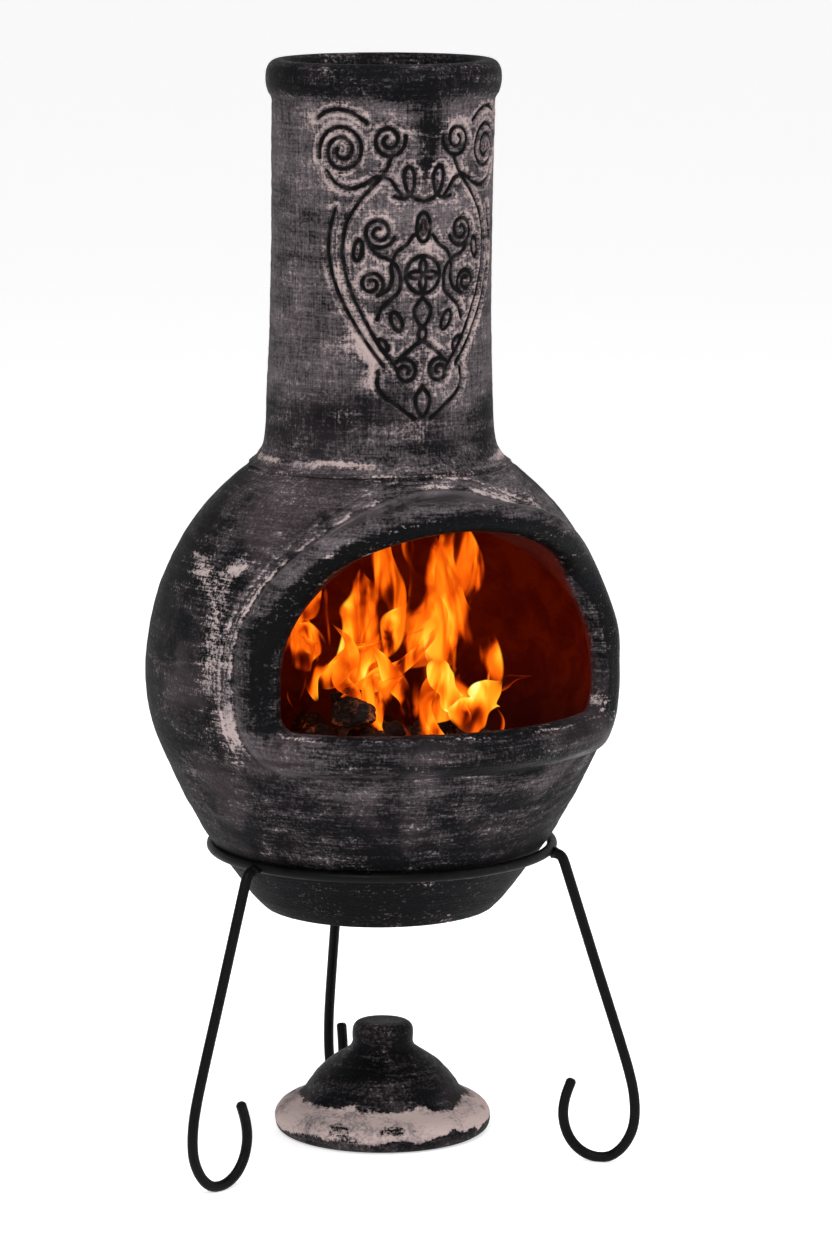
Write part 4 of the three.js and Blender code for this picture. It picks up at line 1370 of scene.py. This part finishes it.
def build_lump(name, material, seed):
    """A broken lump: a ball cut by flats, wrinkled, then fitted into the CAD lump's box."""
    lo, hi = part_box(name)
    lo, hi = np.array(lo) / MM, np.array(hi) / MM
    centre, size = (lo + hi) / 2, (hi - lo)
    rng = np.random.RandomState(1000 + seed)
    D = BALL_V
    reach = np.full(len(D), 1.28)
    for _ in range(9):
        n = rng.normal(size=3)
        n /= np.linalg.norm(n)
        offset = rng.uniform(0.58, 1.0)
        c = D @ n
        cut = np.where(c > 1e-3, offset / np.maximum(c, 1e-3), 9.0)
        reach = smin(reach, cut, 0.055)
    V = D * reach[:, None]
    grain = rng.normal(size=3)
    grain /= np.linalg.norm(grain)
    along = V @ grain
    wob = V * 22 + seed * 13.0
    V = V + D * (0.20 * fbm(wob, 13.0, seed + 30, 2)[:, None] + 0.085 * fbm(wob, 5.0, seed, 3)[:, None] + 0.035 * np.abs(noise3(np.stack([along * 60, wob[:, 1], wob[:, 2]], 1), (2.6, 24, 24), seed + 4))[:, None])
    a, b = V.min(0), V.max(0)
    V = (V - (a + b) / 2) / (b - a) * size * 0.995 + centre
    glow_and_painted_firelight = np.clip(1.25 - (V[:, 2] - lo[2]) / (hi[2] - lo[2]) * 1.1, 0, 1) * (0.55 + 0.45 * rng.rand())
    return make_mesh(name + "_skin", V, BALL_F, material, {"glow_and_painted_firelight": glow_and_painted_firelight})


def build_slip(material):
    """The slip that lutes the neck to the bowl: an uneven band, proud in places and rubbed away in others."""
    nc, ns = 420, 12
    A = np.linspace(0, 2 * np.pi, nc, endpoint=False)
    base = np.stack([120 * np.sin(A), -120 * np.cos(A), np.zeros(nc)], 1)
    wave = 2.2 * noise3(base, 60.0, 201) + 1.0 * noise3(base, 17.0, 202)
    thick = 1.35 + 0.75 * noise3(base, 26.0, 203) + 0.45 * noise3(base, 8.0, 204)
    tall = 3.6 + 1.9 * noise3(base, 33.0, 205) + 0.9 * noise3(base, 10.0, 206)
    phi = np.linspace(0, 2 * np.pi, ns, endpoint=False)
    # the band follows the wall: its long axis runs along the flank's slope
    slope = np.array([0.86, -0.51])
    out = np.array([0.51, 0.86])
    V = []
    for i in range(nc):
        c = np.array([121.6, 675.0]) + slope * wave[i] * 0.5
        t = max(0.5, thick[i])
        for f in phi:
            q = c + slope * tall[i] * math.cos(f) + out * (t * math.sin(f))
            V.append((q[0] * math.sin(A[i]), -q[0] * math.cos(A[i]), q[1]))
    V = np.array(V)
    V = V + 0.22 * fbm(V, 5.0, 207, 2)[:, None] * np.array([1, 1, 1.0])
    quads = ring_faces(nc, ns, closed_rows=True)
    N = vertex_normals(V, quads)
    centre = np.repeat(np.stack([121.6 * np.sin(A), -121.6 * np.cos(A), np.full(nc, 675.0)], 1), ns, 0)
    if ((V - centre) * N).sum() < 0:
        quads = quads[:, ::-1]
    gaps = 0.5 + 0.5 * noise3(V, 40.0, 63)
    return make_mesh(
        "luting_slip",
        lean(V),
        quads,
        material,
        {"pale": 0.06 + 0.36 * gaps, "grey": 0.25 + 0 * gaps, "groove": 0 * gaps, "inside": 0 * gaps, "glow_and_painted_firelight": 0 * gaps, "gloss": 0 * gaps},
    )


def flame_material():
    """Burning gas: thin sheets, brightest along their edges, clear between the filaments."""
    k = Nodes("flame")
    P = k.coords()
    across, along, burn = k.attr("across"), k.attr("along"), k.attr("burn")
    strand = k.noise(k.scaled(P, 36, 36, 12), 1.0, 2.5, 0.5, 0.9)
    lick = k.noise(k.scaled(P, 22, 22, 10, (4, 2, 6)), 1.0, 1.5, 0.5, 0.8)
    edge = k.math("POWER", across, 2.2)
    s1 = k.range(strand, 0.40, 0.66, 0.0, 1.0)
    v = k.add(k.mul(burn, 0.37), k.add(k.mul(edge, 0.16), k.mul(s1, 0.38)))
    v = k.sub(v, k.mul(k.range(lick, 0.36, 0.66), 0.56))
    v = k.sub(v, k.mul(along, 0.16))
    ramp_node = k.t.nodes.new("ShaderNodeValToRGB")
    els = ramp_node.color_ramp.elements
    els[0].position, els[0].color = 0.0, (0.10, 0.0035, 0.0, 1)
    els[1].position, els[1].color = 1.0, (1.0, 0.86, 0.28, 1)
    for pos, col in ((0.28, (0.42, 0.030, 0.0008, 1)), (0.48, (0.95, 0.135, 0.003, 1)), (0.66, (1.0, 0.30, 0.010, 1)), (0.84, (1.0, 0.56, 0.045, 1))):
        e = els.new(pos)
        e.color = col
    k.put(ramp_node.inputs["Fac"], v)
    k.set("Emission Color", ramp_node.outputs["Color"])
    k.bsdf.inputs["Emission Strength"].default_value = 1.4
    k.set("Base Color", k.mix(s1, (0.02, 0.004, 0.0), (0.04, 0.010, 0.001)))
    k.bsdf.inputs["Specular IOR Level"].default_value = 0.0
    k.bsdf.inputs["Roughness"].default_value = 1.0
    body = k.range(v, 0.12, 0.50, 0.0, 0.96)
    fade = k.mul(k.range(along, 0.0, 0.10), k.range(along, 1.0, 0.80))
    rim = k.range(across, 1.0, 0.86)
    k.set("Alpha", k.mul(k.mul(body, fade), rim, clamp=True))
    return k.mat


# Each tongue: points (right, height, depth) in mm from the axis as seen from the front left, then width and heat
TONGUES = [
    ([(-34, 452, 20), (-24, 484, 12), (-10, 508, 6), (-2, 540, 0), (0, 570, -2), (2, 605, -2), (8, 644, -2)], 50, 1.16),
    ([(10, 476, 4), (34, 512, 2), (52, 545, 0), (46, 580, 0), (34, 615, 2), (30, 648, 4)], 60, 1.10),
    ([(50, 476, -10), (68, 520, -12), (62, 560, -10), (46, 600, -8), (40, 640, -4)], 40, 0.84),
    ([(64, 440, -30), (82, 464, -32), (88, 492, -30), (76, 530, -26), (62, 566, -22), (54, 600, -18)], 38, 1.16),
    ([(38, 436, -46), (60, 450, -48), (82, 464, -48), (92, 484, -46), (82, 504, -42)], 30, 1.15),
    ([(52, 494, -62), (56, 474, -64), (66, 454, -66), (80, 438, -66), (88, 420, -64)], 24, 1.75),
    ([(70, 430, -66), (84, 444, -67), (98, 458, -64), (118, 472, -60)], 34, 1.95),
    ([(-84, 470, 16), (-78, 492, 14), (-84, 512, 10), (-98, 532, 6)], 40, 0.98),
    ([(-92, 470, 10), (-82, 500, 8), (-88, 524, 8), (-72, 552, 8), (-76, 580, 8)], 40, 0.62),
    ([(-46, 490, 30), (-70, 536, 28), (-54, 575, 26), (-26, 612, 22), (-22, 640, 20)], 74, 0.50),
    ([(-60, 452, 20), (-36, 474, 14), (0, 494, 8), (40, 512, 4), (72, 536, 2)], 36, 0.66),
    ([(-34, 452, -20), (-2, 468, -24), (30, 490, -26), (52, 522, -26)], 20, 1.00),
    ([(8, 402, -52), (-10, 432, -52), (2, 462, -50), (26, 486, -48), (30, 512, -46)], 28, 0.90),
    ([(48, 401, -56), (32, 428, -56), (24, 456, -54), (6, 484, -50), (-16, 508, -44)], 20, 1.15),
    ([(64, 401, -60), (52, 424, -60), (42, 450, -58), (48, 476, -54), (40, 506, -50)], 18, 1.20),
    ([(22, 402, 34), (10, 446, 32), (24, 492, 28), (56, 536, 24), (70, 584, 20), (66, 630, 18)], 84, 0.58),
    ([(-62, 440, 6), (-68, 462, 4), (-60, 486, 0), (-78, 506, -2), (-88, 530, 0)], 14, 0.86),
    ([(-38, 438, -24), (-26, 454, -26), (-38, 470, -28), (-30, 492, -28), (-46, 522, -26)], 18, 0.78),
    ([(-78, 432, -10), (-84, 450, -12), (-76, 470, -12), (-88, 490, -12), (-82, 512, -8)], 10, 0.70),
    ([(82, 402, -62), (78, 414, -64), (88, 428, -64), (82, 444, -62)], 22, 1.25),
    ([(94, 402, -60), (100, 414, -60), (94, 428, -60), (102, 440, -58)], 14, 1.00),
    ([(98, 402, -24), (108, 426, -26), (98, 448, -28), (120, 466, -28), (148, 472, -26)], 14, 0.55),
]


def build_flames(material):
    right = np.array([math.cos(VIEW_AZ), math.sin(VIEW_AZ), 0.0])
    ahead = np.array([-math.sin(VIEW_AZ), math.cos(VIEW_AZ), 0.0])
    Vs, quads, tris, across, along, heat = [], [], [], [], [], []
    base = 0
    n, ns = 64, 28
    for number, (pts, width, glow_and_painted_firelight) in enumerate(TONGUES):
        rng = np.random.RandomState(500 + number)
        c = catmull(pts, 16)
        d = np.concatenate([[0], np.cumsum(np.linalg.norm(np.diff(c, axis=0), axis=1))])
        t = np.linspace(0, 1, n)
        c = np.stack([np.interp(t * d[-1], d, c[:, i]) for i in range(3)], 1)
        phase = rng.uniform(0, 6.28, 4)
        sway = np.stack([4.0 * np.sin(7 * t + phase[0]) + 1.2 * np.sin(17 * t + phase[1]), 0 * t, 4.0 * np.sin(6 * t + phase[2])], 1)
        c = c + sway * t[:, None]
        T = np.gradient(c, axis=0)
        T /= np.linalg.norm(T, axis=1, keepdims=True)
        yaw = math.radians(rng.uniform(-28, 28)) + math.radians(rng.uniform(-45, 45)) * t
        flat = np.stack([np.cos(yaw), 0 * t, np.sin(yaw)], 1)
        flat = flat - (flat * T).sum(1)[:, None] * T
        flat /= np.linalg.norm(flat, axis=1, keepdims=True)
        thin = np.cross(T, flat)
        w = 0.5 * 1.2 * width * np.power(np.sin(np.pi * np.clip(t, 0.001, 0.999) ** 0.62), 0.85) * (1 + 0.24 * np.sin(10 * t + phase[3]) + 0.10 * np.sin(23 * t + phase[1]))
        w = np.maximum(w, 0.4)
        a = np.linspace(0, 2 * np.pi, ns, endpoint=False)
        # each sheet is a little cupped
        x = np.cos(a)[None, :] * w[:, None]
        y = np.sin(a)[None, :] * w[:, None] * 0.10 + 0.22 * w[:, None] * (np.cos(a)[None, :] ** 2)
        L = c[:, None, :] + x[..., None] * flat[:, None, :] + y[..., None] * thin[:, None, :]
        L = L.reshape(-1, 3)
        W = L[:, 0:1] * right + L[:, 2:3] * ahead
        W[:, 2] = L[:, 1]
        W = np.vstack([W, W[:ns].mean(0), W[-ns:].mean(0)])
        Vs.append(W)
        quads.append(ring_faces(n, ns, base=base))
        j = np.arange(ns)
        k = (j + 1) % ns
        tris.append(np.stack([base + k, base + j, np.full(ns, base + len(W) - 2)], 1))
        tris.append(np.stack([base + (n - 1) * ns + j, base + (n - 1) * ns + k, np.full(ns, base + len(W) - 1)], 1))
        across.append(np.concatenate([np.tile(np.abs(np.cos(a)), n), [0, 0]]))
        along.append(np.concatenate([np.repeat(t, ns), [0, 1]]))
        heat.append(np.full(len(W), glow_and_painted_firelight))
        base += len(W)
    return make_mesh(
        "flames",
        np.vstack(Vs),
        [np.vstack(quads), np.vstack(tris)],
        material,
        {"across": np.concatenate(across), "along": np.concatenate(along), "burn": np.concatenate(heat)},
    )


# ----------------------------------------------------------------------------------------------- build it all
clay_bowl = clay_material("clay_bowl", streak=0.98, vertical=0.55, warm=0.55, roll=True, slip_high=(0.36, 0.29, 0.28), slip_low=(0.165, 0.140, 0.145))
clay_slip = clay_material("clay_slip", streak=0.9, vertical=0.4, warm=0.4)
clay_neck = clay_material("clay_neck", streak=0.75, vertical=0.85, warm=0.25, slip_high=(0.33, 0.255, 0.245), slip_low=(0.150, 0.121, 0.130), soft=1.6)
clay_lid = clay_material("clay_lid", streak=0.7, vertical=0.2, warm=0.2)
steel = steel_material()
sand = sand_material()
coal = charcoal_material()


def place(obj, body, slot, *nodes):
    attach(obj, body)
    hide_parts(*nodes)


place(build_bowl(clay_bowl), "vessel", "clay", "fire_bowl")
place(build_chimney(clay_neck), "vessel", "clay", "chimney")
slip_band = build_slip(clay_slip)
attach(slip_band, "vessel")
flames = build_flames(flame_material())
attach(flames, "vessel")
place(build_lid(clay_lid), "lid", "clay", "lid")
place(build_ring(steel), "stand", "black_steel", "stand_ring")
for number, (leg, psi) in enumerate(LEGS.items()):
    place(build_leg(leg, psi, steel, 20 + 6 * number), "stand", "black_steel", leg)
place(build_sand(sand), "vessel", "sand", "sand_bed")
for number in range(1, 13):
    lump = f"charcoal_{number:02d}"
    place(build_lump(lump, coal, number), "vessel", "charcoal", lump)

# ----------------------------------------------------------------------------------------------- floor and light
k = Nodes("floor_white")
P = k.coords()
k.set("Base Color", k.mix(k.noise(k.scaled(P, 3.0), 1.0, 2.0, 0.5), (0.93, 0.93, 0.93), (0.95, 0.95, 0.95)))
k.bsdf.inputs["Roughness"].default_value = 0.7
k.bsdf.inputs["Specular IOR Level"].default_value = 0.1
k.bsdf.inputs["Emission Color"].default_value = (1.0, 1.0, 1.0, 1.0)
k.bsdf.inputs["Emission Strength"].default_value = 0.52
floor_mesh = bpy.data.meshes.new("floor")
floor_mesh.from_pydata([(-60, -60, -0.0005), (60, -60, -0.0005), (60, 60, -0.0005), (-60, 60, -0.0005)], [], [(0, 1, 2, 3)])
floor_mesh.materials.append(k.mat)
floor = bpy.data.objects.new("floor", floor_mesh)
scene.collection.objects.link(floor)

world = bpy.data.worlds.new("studio")
scene.world = world
world.use_nodes = True
background = world.node_tree.nodes["Background"]
wt = world.node_tree
sky_coord = wt.nodes.new("ShaderNodeTexCoord")
sky_split = wt.nodes.new("ShaderNodeSeparateXYZ")
wt.links.new(sky_coord.outputs["Generated"], sky_split.inputs[0])
sky_range = wt.nodes.new("ShaderNodeMapRange")
sky_range.interpolation_type = "SMOOTHSTEP"
sky_range.inputs["From Min"].default_value = 0.05
sky_range.inputs["From Max"].default_value = 0.65
sky_range.inputs["To Min"].default_value = 0.92
sky_range.inputs["To Max"].default_value = 0.36
wt.links.new(sky_split.outputs["Z"], sky_range.inputs["Value"])
background.inputs["Color"].default_value = (1.0, 1.0, 1.0, 1.0)
wt.links.new(sky_range.outputs["Result"], background.inputs["Strength"])


def softbox(name, place_at, target, size, power, colour=(1, 1, 1)):
    data = bpy.data.lights.new(name, "AREA")
    data.shape = "RECTANGLE"
    data.size, data.size_y = size
    data.energy = power
    data.color = colour
    obj = bpy.data.objects.new(name, data)
    obj.location = place_at
    direction = Vector(target) - Vector(place_at)
    obj.rotation_euler = direction.to_track_quat("-Z", "Y").to_euler()
    scene.collection.objects.link(obj)
    return obj


softbox("key", (-2.4, -3.2, 3.2), (0, 0, 0.5), (1.8, 1.8), 120)
softbox("fill", (3.2, -2.2, 2.0), (0, 0, 0.5), (1.6, 2.4), 48)
softbox("top", (0.1, -0.9, 3.4), (0, 0, 0.6), (2.2, 1.6), 60)
